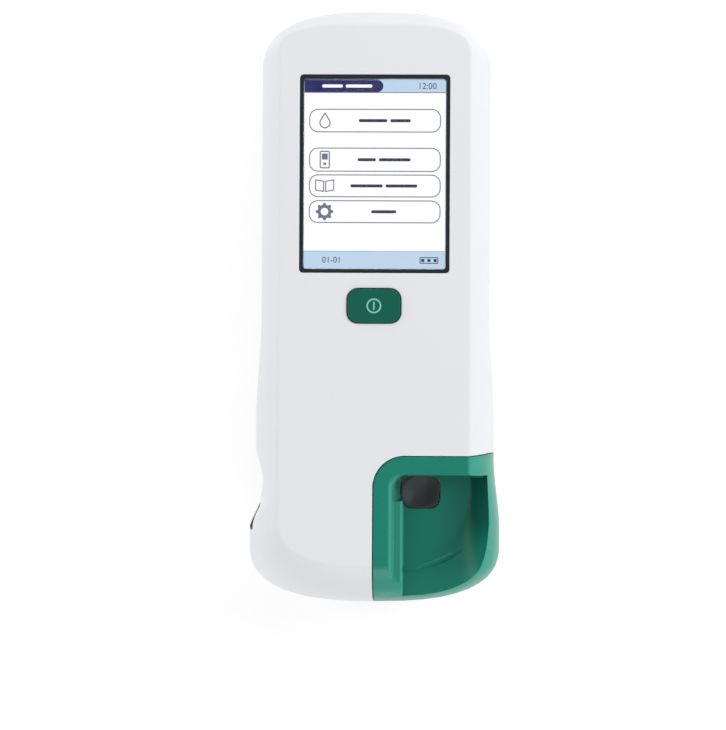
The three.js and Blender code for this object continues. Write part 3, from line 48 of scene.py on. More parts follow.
scene.view_settings.view_transform = "Standard"
mm = 0.001
print("frame loaded:", len(nodes), "nodes")


# Camera: it looks down on the face, as the photograph does
camera = {
    "height": 1171 * mm,                      # above the table
    "lensMm": 136.2,
    "sensorMm": 36,
    "nearest": 50 * mm,
    "farthest": 20,
    "aim": (-5.1 * mm, -24.0 * mm, 24 * mm),  # what the middle of the picture falls on
    "yawDegrees": 1.7,
    "rollDegrees": 0.3,
}


def addCamera(values):
    data = bpy.data.cameras.new("viewCamera")
    data.lens = values["lensMm"]
    data.sensor_width = values["sensorMm"]
    data.clip_start = values["nearest"]
    data.clip_end = values["farthest"]
    viewer = bpy.data.objects.new("viewCamera", data)
    scene.collection.objects.link(viewer)
    yaw = math.radians(values["yawDegrees"])
    aim = Vector(values["aim"])
    viewer.location = aim + Vector((math.sin(yaw), 0, math.cos(yaw))) * (values["height"] - aim.z)
    roll = Matrix.Rotation(math.radians(values["rollDegrees"]), 4, "Z")
    viewer.rotation_euler = (Matrix.Rotation(yaw, 4, "Y") @ roll).to_euler()
    scene.camera = viewer


addCamera(camera)


# Shader maths: a wrapped socket that can be added, scaled and compared
class Field:
    def __init__(self, tree, socket):
        self.tree = tree
        self.socket = socket

    def maths(self, operation, first, second):
        inputs = {0: first, 1: second}
        return addNode(self.tree, "ShaderNodeMath", {"operation": operation}, inputs)

    def __add__(self, other):
        return self.maths("ADD", self, other)

    def __radd__(self, other):
        return self.maths("ADD", other, self)

    def __sub__(self, other):
        return self.maths("SUBTRACT", self, other)

    def __rsub__(self, other):
        return self.maths("SUBTRACT", other, self)

    def __mul__(self, other):
        return self.maths("MULTIPLY", self, other)

    def __rmul__(self, other):
        return self.maths("MULTIPLY", other, self)

    def __pow__(self, other):
        return self.maths("POWER", self, other)

    def __gt__(self, other):
        return self.maths("GREATER_THAN", self, other)

    def __lt__(self, other):
        return self.maths("LESS_THAN", self, other)


def addNode(tree, kind, settings, inputs, output=0):
    node = tree.nodes.new(kind)
    for key, value in settings.items():
        setattr(node, key, value)
    for key, value in inputs.items():
        if isinstance(value, Field):
            tree.links.new(value.socket, node.inputs[key])
        else:
            node.inputs[key].default_value = value
    return Field(tree, node.outputs[output]) if node.outputs else None


# A screen colour from 0 to 255 as a shader takes it, by the standard screen curve
def linear(red, green, blue):
    def channel(value):
        share = value / 255
        return share / 12.92 if share <= 0.04045 else ((share + 0.055) / 1.055) ** 2.4

    return (channel(red), channel(green), channel(blue), 1)


def shaded(colour, factor):
    return tuple(min(channel * factor, 1) for channel in colour[:3]) + (1,)


def mixColour(tree, factor, first, second):
    inputs = {0: factor, 6: first, 7: second}
    return addNode(tree, "ShaderNodeMix", {"data_type": "RGBA"}, inputs, 2)


def objectPlace(tree):
    return addNode(tree, "ShaderNodeTexCoord", {}, {}, "Object")


def noise(tree, place, scale, detail=2, roughness=0.5):
    inputs = {"Vector": place, "Scale": scale, "Detail": detail, "Roughness": roughness}
    return addNode(tree, "ShaderNodeTexNoise", {}, inputs)


def newMaterial(name):
    material = bpy.data.materials.new(name)
    material.use_nodes = True
    material.node_tree.nodes.clear()
    return material


def closeMaterial(material, shader):
    addNode(material.node_tree, "ShaderNodeOutputMaterial", {}, {"Surface": shader})
    return material


def principled(material, inputs):
    shader = addNode(material.node_tree, "ShaderNodeBsdfPrincipled", {}, inputs)
    return closeMaterial(material, shader)


def bump(tree, height, distance, strength=1.0):
    inputs = {"Height": height, "Distance": distance, "Strength": strength}
    return addNode(tree, "ShaderNodeBump", {}, inputs)


# Moulded plastics and rubber: soft clouding, a fine spark-eroded grain and a little handling wear
moulding = {
    "cloud": {"scale": 28, "detail": 3}, "cloudShine": 0.06,
    "grain": {"detail": 2, "roughness": 0.6}, "grainShine": 0.04,
    "rub": {"scale": 210, "detail": 4, "roughness": 0.65}, "rubFrom": 0.6, "rubShine": 0.02,
}


# A mark is a pattern in a second colour. A turned finish has a painted highlight tone and a painted
# shade tone, mixed in by per-corner values on the mesh that follow how each surface faces the lamps.
def mouldedFinish(name, colour, roughness, grainSize=0.25, grainHeight=0.006, clouding=0.02,
                  mark=None, specular=0.5, turned=None):
    material = newMaterial(name)
    tree = material.node_tree
    place = objectPlace(tree)
    values = moulding
    cloud = noise(tree, place, **values["cloud"])
    grain = noise(tree, place, 1 / (grainSize * mm), **values["grain"])
    rub = noise(tree, place, **values["rub"])
    base = mixColour(tree, cloud, shaded(colour, 1 - clouding), shaded(colour, 1 + clouding))
    if mark:
        base = mixColour(tree, mark["place"](tree, mark), base, mark["colour"])
    # Painted light: the light colour is a painted highlight and the dark colour a painted shade
    if turned:
        facing = addNode(tree, "ShaderNodeAttribute", {"attribute_name": "facing"}, {}, "Fac")
        base = mixColour(tree, facing * turned["gain"], base, turned["light"])
        base = mixColour(tree, facing * -turned["gain"], base, turned["dark"])
    rough = roughness - values["cloudShine"] + cloud * values["cloudShine"]
    rough = rough + grain * values["grainShine"] + (rub > values["rubFrom"]) * values["rubShine"]
    return principled(material, {
        "Base Color": base, "Roughness": rough, "Normal": bump(tree, grain, grainHeight * mm),
        "Specular IOR Level": specular,
    })


# Power sign on the button: a ring with a bar in it
def ringAndBar(tree, values):
    place = objectPlace(tree)
    x, y = [addNode(tree, "ShaderNodeSeparateXYZ", {}, {"Vector": place}, axis) for axis in "XY"]
    half = values["line"] * mm / 2
    radius = (x ** 2 + y ** 2) ** 0.5
    offRing = radius - values["radius"] * mm
    ring = offRing.maths("ABSOLUTE", offRing, 0) < half
    across = x.maths("ABSOLUTE", x, 0) < half
    along = y.maths("ABSOLUTE", y, 0) < values["bar"] * mm / 2
    return ring.maths("MAXIMUM", ring, across * along)


powerSign = {
    "place": ringAndBar, "colour": linear(128, 200, 184),
    "radius": 2.7, "line": 0.62, "bar": 3.3,  # millimetres
}


# Plated and turned metals: fine brush lines
brushing = {
    "lines": {"scale": 900, "detail": 3, "roughness": 0.7}, "stretch": (1, 1, 14),
    "lineShine": 0.18, "lineHeight": 0.004 * mm, "cloudScale": 60, "cloudShade": 0.9,
}


def metalFinish(name, colour, roughness):
    material = newMaterial(name)
    tree = material.node_tree
    values = brushing
    place = objectPlace(tree)
    mapped = {"Vector": place, "Scale": values["stretch"]}
    stretched = addNode(tree, "ShaderNodeMapping", {}, mapped)
    lines = noise(tree, stretched, **values["lines"])
    cloud = noise(tree, place, values["cloudScale"])
    base = mixColour(tree, cloud, shaded(colour, values["cloudShade"]), colour)
    rough = roughness + lines * values["lineShine"] - values["lineShine"] / 2
    normal = bump(tree, lines, values["lineHeight"])
    return principled(
        material, {"Base Color": base, "Roughness": rough, "Metallic": 1.0, "Normal": normal})


# Circuit board: green solder mask over traces that show as a faint raised net
traces = {
    "scale": 260, "evenness": 0.35, "width": 0.06, "tint": 0.55, "lift": 2.4,
    "height": 0.02 * mm, "strength": 0.6, "cloud": {"scale": 40, "detail": 3}, "cloudTint": 0.1,
    "roughness": 0.34, "cloudShine": 0.12, "coat": 0.3,
}


def boardFinish(name, colour):
    material = newMaterial(name)
    tree = material.node_tree
    values = traces
    place = objectPlace(tree)
    inputs = {"Vector": place, "Scale": values["scale"], "Randomness": values["evenness"]}
    cells = addNode(tree, "ShaderNodeTexVoronoi", {"feature": "DISTANCE_TO_EDGE"}, inputs)
    trace = cells < values["width"]
    cloud = noise(tree, place, **values["cloud"])
    share = trace * values["tint"] + cloud * values["cloudTint"]
    return principled(material, {
        "Base Color": mixColour(tree, share, colour, shaded(colour, values["lift"])),
        "Roughness": values["roughness"] + cloud * values["cloudShine"],
        "Normal": bump(tree, trace, values["height"], values["strength"]),
        "Coat Weight": values["coat"],
    })


# Clear plastic and glass, faintly smeared
smears = {"pattern": {"scale": 45, "detail": 4, "roughness": 0.6}, "shine": 0.01}


def clearFinish(name, tint, bend):
    material = newMaterial(name)
    tree = material.node_tree
    smear = noise(tree, objectPlace(tree), **smears["pattern"])
    return principled(material, {
        "Base Color": tint, "Roughness": smear * smears["shine"], "IOR": bend,
        "Transmission Weight": 1.0,
    })


# Lit display: colour from the backlight, with a fine dot grain
litPanel = {
    "dotScale": 4200, "dotShade": 0.97, "strength": 1.06,
    "unlit": (0.01, 0.01, 0.01, 1), "roughness": 0.5, "specular": 0.1,
}


def litFinish(name, colour):
    material = newMaterial(name)
    tree = material.node_tree
    dots = noise(tree, objectPlace(tree), litPanel["dotScale"], 1)
    return principled(material, {
        "Base Color": litPanel["unlit"], "Roughness": litPanel["roughness"],
        "Specular IOR Level": litPanel["specular"],
        "Emission Color": mixColour(tree, dots, shaded(colour, litPanel["dotShade"]), colour),
        "Emission Strength": litPanel["strength"],
    })


# Painted highlight (light) and painted shade (dark) for the port cover's green, by how its surfaces
# face the lamps
greenPaintedLight = {"light": linear(58, 154, 134), "dark": linear(22, 94, 80), "gain": 2.1}
# Painted highlight (light) and painted shade (dark) for the strip guide's black dish, by how it
# faces the lamps
blackPaintedLight = {"light": linear(92, 98, 104), "dark": linear(20, 22, 24), "gain": 3.6}
blackMould = {
    "roughness": 0.45, "grainSize": 0.35, "grainHeight": 0.02, "clouding": 0.05, "specular": 0.4,
}
finishes = {
    "shell": mouldedFinish(
        "shellPlastic", linear(229, 230, 233), 0.42, clouding=0.008, specular=0.35),
    # The port cover's green carries painted light and shade
    "green": mouldedFinish(
        "portGreenPlastic", linear(22, 125, 105), 0.31, clouding=0.03, specular=0.17,
        turned=greenPaintedLight),
    "buttonGreen": mouldedFinish(
        "buttonGreenPlastic", linear(8, 90, 72), 0.45, clouding=0.03, specular=0.18,
        mark=powerSign),
    "black": mouldedFinish("blackPlastic", linear(50, 54, 57), **blackMould),
    # The strip guide's dish carries painted light and shade
    "dishBlack": mouldedFinish(
        "dishBlackPlastic", linear(50, 54, 57), turned=blackPaintedLight, **blackMould),
    "bezel": mouldedFinish(
        "bezelPlastic", linear(20, 30, 38), 0.35, clouding=0.04, specular=0.22),
    "chip": mouldedFinish("chipPlastic", linear(38, 38, 40), 0.5, clouding=0.05),
    "rubber": mouldedFinish("footRubber", linear(92, 96, 100), 0.8, 0.3, 0.02, 0.06),
    "foam": mouldedFinish("padFoam", linear(70, 74, 78), 0.95, 0.7, 0.12, 0.1),
    "battery": mouldedFinish("batteryWrap", linear(48, 62, 88), 0.35, 1.2, 0.02, 0.03),
    "filter": mouldedFinish("filterPlastic", linear(52, 10, 16), 0.1, clouding=0.05),
    "ribbon": mouldedFinish("ribbonFilm", linear(196, 128, 40), 0.35, clouding=0.04),
    "paper": mouldedFinish("diffuserFilm", linear(226, 232, 238), 0.5),
    "board": boardFinish("circuitBoard", linear(24, 84, 44)),
    "steel": metalFinish("screwSteel", linear(196, 199, 203), 0.3),
    "brass": metalFinish("contactBrass", linear(214, 172, 86), 0.3),
    "aluminium": metalFinish("heaterAluminium", linear(205, 207, 210), 0.35),
    "mirror": metalFinish("mirrorSilver", linear(240, 241, 243), 0.06),
    "clear": clearFinish("windowClear", (1, 1, 1, 1), bend=1.2),
    "lens": clearFinish("lensClear", (0.97, 0.99, 1, 1), bend=1.49),
    "litWhite": litFinish("litWhite", linear(250, 250, 251)),
    "litBlue": litFinish("litBlue", linear(184, 208, 230)),
    "litNavy": litFinish("litNavy", linear(30, 34, 94)),
    "litSlate": litFinish("litSlate", linear(108, 108, 136)),
    "litInk": litFinish("litInk", linear(44, 44, 84)),
}
print("materials made:", len(finishes))


# How the solids are refined. A skin is a true curved surface that a solid follows.
refining = {
    "mergeDistance": 0.002 * mm,
    "flatDegrees": 0.4,           # faces turned less than this are joined
    "sharpDegrees": 32,           # and edges turned more than this are shaded sharp
    "rounding": {"segments": 2, "degrees": 40},
    "normalWeight": 80,
    "skinReach": 0.5 * mm,        # a face this near a skin, and turned as it is, belongs to it
    "skinTurn": 0.82,
    "skinEdge": 2.6 * mm,         # the longest edge that isn't split
    "skinPasses": 9,
    "meetTurns": 12,
    "meetReach": 0.8 * mm,        # the farthest a corner moves onto the line where two skins meet
    "stillLevel": 48.2 * mm,      # above it corners keep their places, and only shading is smoothed
    "foldDegrees": 65,            # a turn this sharp within a skin is a fold
    "backDegrees": 140,           # and so is one this sharp at its border
    "mendPasses": 3,
    "rimReach": 0.16 * mm,        # an edge this near a skin or flat is on the outside
    "rimDegrees": 35,
    "acuteDegrees": 108,          # lips sharper than this stay as they are
    "rimSegments": 3,
    "shortEdge": 0.03 * mm,
    "creaseDegrees": 34,          # a skin's direction doesn't run on over a turn like this
    "onSkin": 0.14 * mm,          # a face this near a skin is shaded with the skin's own direction
    "onSkinTurn": 0.955,
    "leastDirection": 0.5,        # one shorter than this is of corners that disagree
    "pull": 0.06,                 # corners look for the skin this far toward the face's middle
}


# Outline of the housing, the same curves as the CAD solids but drawn finely. Millimetres, with Y
# from the base end.
form = {
    "length": 244, "depth": 51, "parting": 24, "backLevel": 1.5,
    "baseHalf": 51.8, "waistHalf": 49.3, "headHalf": 47.3, "faceHalf": 39,
    "flareLow": 30, "flareHigh": 60, "waistHigh": 75, "headLow": 118,
    "scoopDepth": 3.7, "scoopLow": 30.5, "scoopLowFull": 42.5,
    "scoopHighFull": 49, "scoopHigh": 64,
    "edgeRadius": 3, "riseDegrees": 60, "backInset": 10, "backPower": 2.4,
    "flatMargin": 3,              # how much of the flat face and back the skins take in
    "widest": {
        "low": 24, "high": 218, "baseCap": 24, "headCap": 26, "basePower": 2.6, "headPower": 2.6,
    },
    "face": {
        "low": 35.5, "high": 222, "baseCap": 20, "headCap": 14.5, "basePower": 2.6, "headPower": 3.2,
    },
    "steps": {"scoop": 44, "waist": 30, "end": 88, "flank": 26, "edge": 8, "back": 40},
}


# Rises smoothly from 0 to 1 between two places, or falls where the start is the higher one
def ease(start, end, y):
    share = min(max((y - min(start, end)) / abs(end - start), 0), 1)
    rising = share * share * (3 - 2 * share)
    return rising if start < end else 1 - rising


def widestHalf(y):
    toWaist = ease(form["flareLow"], form["flareHigh"], y)
    toHead = ease(form["waistHigh"], form["headLow"], y)
    half = form["baseHalf"] + (form["waistHalf"] - form["baseHalf"]) * toWaist
    return half + (form["headHalf"] - form["waistHalf"]) * toHead


def scoopAt(y):
    rising = ease(form["scoopHigh"], form["scoopHighFull"], y)
    return form["scoopDepth"] * rising * ease(form["scoopLow"], form["scoopLowFull"], y)


def evenly(start, end, steps):
    return [start + (end - start) * k / steps for k in range(steps)]


# Up the right side, round the head end, down the left side and round the base end
def outlinePoints(cap, right, left):
    steps = form["steps"]
    low, high = cap["low"], cap["high"]
    stations = evenly(low, form["scoopHigh"], steps["scoop"])
    stations += evenly(form["scoopHigh"], form["headLow"], steps["waist"]) + [form["headLow"], high]

    def end(y, reach, power, side):
        points = []
        for k in range(1, steps["end"]):
            angle = math.pi * k / steps["end"]
            across = math.copysign(abs(math.cos(angle)) ** (2 / power), math.cos(angle)) * side
            half = right(y) if across > 0 else left(y)
            points.append(Vector((half * across, y + reach * math.sin(angle) ** (2 / power))))
        return points

    points = [Vector((right(y), y)) for y in stations]
    points += end(high, cap["headCap"], cap["headPower"], 1)
    points += [Vector((-left(y), y)) for y in reversed(stations)]
    return points + end(low, -cap["baseCap"], cap["basePower"], -1)


widestOutline = outlinePoints(form["widest"], widestHalf, lambda y: widestHalf(y) - scoopAt(y))
faceOutline = outlinePoints(form["face"], lambda y: form["faceHalf"], lambda y: form["faceHalf"])


# An outline at a share of the way from the widest one to the face's, drawn in by the inset
def shellRing(share, inset, z):
    mixed = [wide.lerp(flat, share) for wide, flat in zip(widestOutline, faceOutline)]
    ring = []
    for k, point in enumerate(mixed):
        along = (mixed[(k + 1) % len(mixed)] - mixed[k - 1]).normalized()
        ring.append(Vector((point.x - along.y * inset, point.y + along.x * inset, z)))
    return ring


# From the parting plane over the curved flank and the rounded edge onto the face
def frontRings():
    steps, depth, parting = form["steps"], form["depth"], form["parting"]
    radius = form["edgeRadius"]
    rise = math.radians(form["riseDegrees"])
    height = (depth - parting) / math.sin(rise)
    run = (form["baseHalf"] + form["headHalf"]) / 2 - form["faceHalf"]
    lean = height * math.cos(rise) * (1 - math.cos(rise))
    slope = math.atan(lean / (run * math.sin(rise)))
    foot = math.asin((depth - radius * (1 - math.cos(slope)) - parting) / height)
    rings = []
    for k in range(steps["flank"] + 1):
        angle = foot * k / steps["flank"]
        share = (1 - math.cos(angle)) / (1 - math.cos(rise))
        rings.append(shellRing(share, 0, parting + height * math.sin(angle)))
    for k in range(1, steps["edge"] + 1):
        turn = slope * (1 - k / steps["edge"])
        drawnIn = radius * (math.tan(slope / 2) - math.sin(turn))
        rings.append(shellRing(1, drawnIn, depth - radius * (1 - math.cos(turn))))
    rings.append(shellRing(1, form["flatMargin"], depth))
    return rings


def backRings():
    steps, parting, power = form["steps"]["back"], form["parting"], 2 / form["backPower"]
    rings = [shellRing(0, form["backInset"] + form["flatMargin"], form["backLevel"])]
    for k in range(steps + 1):
        angle = math.pi / 2 * k / steps
        z = parting - (parting - form["backLevel"]) * max(math.cos(angle), 0) ** power
        rings.append(shellRing(0, form["backInset"] * (1 - math.sin(angle) ** power), z))
    return rings


def placed(point):  # from the outline's millimetres to the shared frame
    return Vector((point.x, point.y - form["length"] / 2, point.z)) * mm


# Finger-nail groove in the bowl, which keeps the CAD's own faces. Millimetres.
groove = {
    "x": 12, "y": 53.2, "radius": 38.6, "reach": 2.3, "fromDegrees": -92, "toDegrees": -43,
    "below": 44,
}


def inGroove(place):
    x, y = place.x / mm - groove["x"], place.y / mm + form["length"] / 2 - groove["y"]
    angle = math.degrees(math.atan2(y, x))
    near = abs(math.hypot(x, y) - groove["radius"]) < groove["reach"]
    inTurn = groove["fromDegrees"] < angle < groove["toDegrees"]
    return near and inTurn and place.z < groove["below"] * mm


# A mesh through rings of points, each joined to the next
def meshThrough(rings):
    mesh = bmesh.new()
    columns, rows = len(rings[0]), len(rings) - 1
    bmesh.ops.create_grid(mesh, x_segments=columns, y_segments=rows, size=0.5)
    for vert in mesh.verts:
        column, row = round((vert.co.x + 0.5) * columns), round((vert.co.y + 0.5) * rows)
        vert.co = placed(rings[row][column % columns])
    bmesh.ops.remove_doubles(mesh, verts=mesh.verts, dist=refining["mergeDistance"])
    bmesh.ops.recalc_face_normals(mesh, faces=mesh.faces)
    return mesh


def total(vectors):
    return sum(vectors, Vector((0, 0, 0)))


# Each face's corners with the skin's direction there, which doesn't run on over a crease
def skinCorners(mesh):
    alike = math.cos(math.radians(refining["creaseDegrees"]))
    table = []
    for face in mesh.faces:
        corners = []
        for vert in face.verts:
            around = [other for other in vert.link_faces if other.normal.dot(face.normal) > alike]
            direction = total(other.normal * other.calc_area() for other in around)
            corners.append((vert.co.copy(), direction.normalized()))
        table.append(corners)
    return table


def skinThrough(rings):  # only to find places and directions on
    mesh = meshThrough(rings)
    skin = {"tree": BVHTree.FromBMesh(mesh), "corners": skinCorners(mesh)}
    mesh.free()
    return skin


# Bowl of the port cover, by the CAD's own curves. Millimetres, with Y from the base end.
bowl = {
    "innerLeft": 10.4, "draft": 2.8, "ledgeRight": 12, "top": 53.2, "depth": 19.5,
    "innerRadius": 5.2, "edgeRadius": 1.8,
    "floorAcross": 27.5, "floorDown": 32.4, "floorPower": 2.6,
    "right": 47.5, "sink": 50.2, "rimPower": 3.8,
    "rise": 11, "lowRise": 6, "bowlPower": 1.3,
    "angleSteps": 48, "filletSteps": 12, "rows": 26, "edgeRows": 8,
    "floorMargin": 0.2,           # how much of the flat floor the skin takes in
}


# The bowl's outline at a share of the way from its floor to its rim
def bowlRing(share, heightAt, widen):
    def mix(atFloor, atRim):
        return atFloor + (atRim - atFloor) * share

    def innerWall(z):
        return bowl["innerLeft"] - bowl["draft"] * (z - floor) / bowl["depth"] - widen

    floor = form["depth"] - bowl["depth"]
    power = 2 / mix(bowl["floorPower"], bowl["rimPower"])
    across = mix(bowl["floorAcross"], bowl["right"] - bowl["ledgeRight"])
    down = mix(bowl["floorDown"], bowl["sink"])
    top = bowl["top"] + widen / 2
    points = []
    for k in range(bowl["angleSteps"] + 1):
        angle = math.pi / 2 * k / bowl["angleSteps"]
        x = bowl["ledgeRight"] + across * math.sin(angle) ** power
        y = top - down * max(math.cos(angle), 0) ** power
        points.append(Vector((x, y, heightAt(angle))))
    low, high = heightAt(0), heightAt(math.pi / 2)
    points.insert(0, Vector((innerWall(low), points[0].y, low)))
    for k in range(bowl["filletSteps"] + 1):
        angle = math.pi / 2 * (1 + k / bowl["filletSteps"])
        x = innerWall(high) + bowl["innerRadius"] * (1 + math.cos(angle))
        points.append(Vector((x, top - bowl["innerRadius"] * (1 - math.sin(angle)), high)))
    return points


def bowlRings():
    floor, edge, margin = form["depth"] - bowl["depth"], bowl["edgeRadius"], form["flatMargin"]
    lowest = bowlRing(0, lambda angle: floor, 0)
    middle = total(lowest) / len(lowest)
    rings = [[point.lerp(middle, bowl["floorMargin"]) for point in lowest]]
    for row in range(bowl["rows"] + 1):
        share = row / bowl["rows"]

        def height(angle):
            more = (bowl["rise"] - bowl["lowRise"]) * angle / (math.pi / 2)
            return floor + (bowl["lowRise"] + more) * share ** bowl["bowlPower"]

        rings.append(bowlRing(share, height, 0))
    for row in range(bowl["edgeRows"] + 1):
        turn = math.pi / 2 * row / bowl["edgeRows"]
        z = form["depth"] - edge * (1 - math.sin(turn))
        rings.append(bowlRing(1, lambda angle: z, edge * (1 - math.cos(turn))))
    rings.append(bowlRing(1, lambda angle: form["depth"], edge + margin))
    return rings


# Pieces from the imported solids: corners merged, flat faces joined, edges broken and shaded smooth
def linkPiece(name, mesh, body, material, replaced):
    data = bpy.data.meshes.new(name)
    mesh.to_mesh(data)
    mesh.free()
    piece = bpy.data.objects.new(name, data)
    scene.collection.objects.link(piece)
    data.materials.append(material)
    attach(piece, body)
    if replaced:
        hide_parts(*replaced)
    return piece


def smoothByAngle(piece):
    piece.data.shade_smooth()
    piece.data.set_sharp_from_angle(angle=math.radians(refining["sharpDegrees"]))


def breakEdges(piece, width):
    modifier = piece.modifiers.new("brokenEdges", "BEVEL")
    modifier.width = width * mm
    modifier.segments = refining["rounding"]["segments"]
    modifier.limit_method = "ANGLE"
    modifier.angle_limit = math.radians(refining["rounding"]["degrees"])
    modifier.use_clamp_overlap = True
    modifier.harden_normals = True
    modifier.miter_outer = "MITER_ARC"


def mergedNode(node):
    mesh = bmesh.new()
    mesh.from_mesh(nodes[node].data)
    bmesh.ops.remove_doubles(mesh, verts=mesh.verts, dist=refining["mergeDistance"])
    flat = math.radians(refining["flatDegrees"])
    bmesh.ops.dissolve_limit(mesh, angle_limit=flat, verts=mesh.verts, edges=mesh.edges)
    return mesh


# Shallow dish over the whole top of the strip guide's tongue. Millimetres, Y from the base end.
dish = {
    "x": 19.0, "y": 45.8, "halfX": 7.5, "halfY": 6.4, "level": 30.6, "depth": 1.35, "below": 1.7,
    "squareness": 2.8, "fall": 1.3, "edge": 0.7, "passes": 5,
    "share": 1.1,                 # how far out its faces are split, as a share of its halves
    "upward": 0.4,                # the least that such a face points up
    "slack": 0.01,
}


def dishShare(place):
    x, y = abs(place.x / mm - dish["x"]), abs(place.y / mm + form["length"] / 2 - dish["y"])
    power = dish["squareness"]
    return ((x / dish["halfX"]) ** power + (y / dish["halfY"]) ** power) ** (1 / power)


def onDish(place):
    drop = dish["level"] - place.z / mm
    return dishShare(place) < dish["share"] and -dish["slack"] < drop < dish["below"]


def fitDish(mesh):
    def isTop(face):
        return face.normal.z > dish["upward"]

    for step in range(dish["passes"]):
        mesh.normal_update()
        faces = [face for face in mesh.faces if isTop(face) and onDish(face.calc_center_median())]
        bmesh.ops.triangulate(mesh, faces=[face for face in faces if len(face.verts) > 3])
        long = [edge for edge in mesh.edges if edge.calc_length() > dish["edge"] * mm
                and len(edge.link_faces) == 2 and all(isTop(face) for face in edge.link_faces)
                and onDish((edge.verts[0].co + edge.verts[1].co) / 2)]
        bmesh.ops.subdivide_edges(mesh, edges=long, cuts=1)
    for vert in mesh.verts:
        if onDish(vert.co):
            fall = max(1 - dishShare(vert.co) ** 2, 0) ** dish["fall"]
            vert.co.z = (dish["level"] - dish["depth"] * fall) * mm


skins = {
    "front": skinThrough(frontRings()),
    "back": skinThrough(backRings()),
    "bowl": skinThrough(bowlRings()),
}
print("skins drawn:", len(skins))


# The skins within reach of a place, nearest first: name, place, direction, face and distance
def skinsNear(names, place, reach):
    found = [(name, *skins[name]["tree"].find_nearest(place, reach)) for name in names]
    return sorted((entry for entry in found if entry[1] is not None), key=lambda entry: entry[4])


def isNear(names, place, reach):
    return bool(skinsNear(names, place, reach))


def middleOf(edge):
    return (edge.verts[0].co + edge.verts[1].co) / 2


def keepsFaces(names, place):  # whether the CAD's own faces stay there
    return "bowl" in names and inGroove(place)


# The faces that belong to a skin, each with the skin's name
def skinFaces(mesh, names):
    mesh.normal_update()
    faces = {}
    for face in mesh.faces:
        if any(keepsFaces(names, vert.co) for vert in face.verts):
            continue
        near = skinsNear(names, face.calc_center_median(), refining["skinReach"])
        if near and abs(near[0][2].dot(face.normal)) > refining["skinTurn"]:
            faces[face] = near[0][0]
    return faces


def splitFlat(mesh, faces):  # into triangles
    bmesh.ops.triangulate(mesh, faces=[face for face in faces if len(face.verts) > 3])


# Cuts the long faces on the skins across, so that none of what follows is a sliver
def sliceSkin(mesh, names):
    faces = skinFaces(mesh, names)
    pieces = list(faces)
    for group in (mesh.edges, mesh.verts):
        pieces += [part for part in group if any(face in faces for face in part.link_faces)]
    y = -form["length"] * mm / 2
    while y < form["length"] * mm / 2:
        y += refining["skinEdge"]
        pieces = bmesh.ops.bisect_plane(
            mesh, geom=pieces, dist=refining["mergeDistance"],
            plane_co=(0, y, 0), plane_no=(0, 1, 0))["geom"]


# Whether a place lies where two skins meet
def atMeeting(names, place):
    return len(names) > 1 and all(isNear([name], place, refining["skinReach"]) for name in names)


# A face folded back on its neighbour, which no true curve has
def isFold(edge, faces, names):
    owners = {faces.get(face) for face in edge.link_faces}
    limit = refining["foldDegrees"] if None not in owners else refining["backDegrees"]
    if len(owners - {None}) != 1 or edge.calc_face_angle(0) < math.radians(limit):
        return False
    return not atMeeting(names, middleOf(edge))


# Onto the nearest skin, or onto the line where two that are turned differently meet
def ontoSkins(names, place):
    entries = skinsNear(names, place, refining["skinReach"])
    places = [entry[1] for entry in entries]
    directions = [entry[2] for entry in entries]
    if not entries:
        return place
    if len(entries) == 1 or abs(directions[0].dot(directions[1])) > refining["skinTurn"]:
        return places[0]
    met = place
    for turn in range(refining["meetTurns"]):
        for name in names:
            met = skins[name]["tree"].find_nearest(met)[0]
    return met if (met - place).length < refining["meetReach"] else places[0]


# Splits the faces on the skins finely and moves their corners onto the true curves
def fitSkin(mesh, names):
    sliceSkin(mesh, names)
    for step in range(refining["skinPasses"]):
        splitFlat(mesh, skinFaces(mesh, names))
        faces = skinFaces(mesh, names)
        for vert in mesh.verts:
            owners = sorted({faces[face] for face in vert.link_faces if face in faces})
            still = vert.co.z >= refining["stillLevel"] or keepsFaces(names, vert.co)
            if owners and not still:
                vert.co = ontoSkins(owners, vert.co)
        mesh.normal_update()
        edges = [edge for edge in mesh.edges if any(face in faces for face in edge.link_faces)]
        folds = [edge for edge in edges if isFold(edge, faces, names)]
        long = [edge for edge in edges if edge.calc_length() > refining["skinEdge"]]
        if folds:
            bmesh.ops.dissolve_edges(mesh, edges=folds, use_verts=True)
        elif long:
            bmesh.ops.subdivide_edges(mesh, edges=long, cuts=1)
    splitFlat(mesh, skinFaces(mesh, names))
    for step in range(refining["mendPasses"]):
        mendFolds(mesh, names)


# Takes the corners of folded faces out and closes the gap flat
def mendFolds(mesh, names):
    def isOn(face):
        return isNear(names, face.calc_center_median(), refining["onSkin"])

    faces = skinFaces(mesh, names)
    folds = [edge for edge in mesh.edges if isFold(edge, faces, names)]
    ends = {vert for edge in folds for vert in edge.verts}
    corners = [vert for vert in mesh.verts if vert in ends and all(map(isOn, vert.link_faces))]
    bmesh.ops.dissolve_verts(mesh, verts=corners)
    splitFlat(mesh, skinFaces(mesh, names))


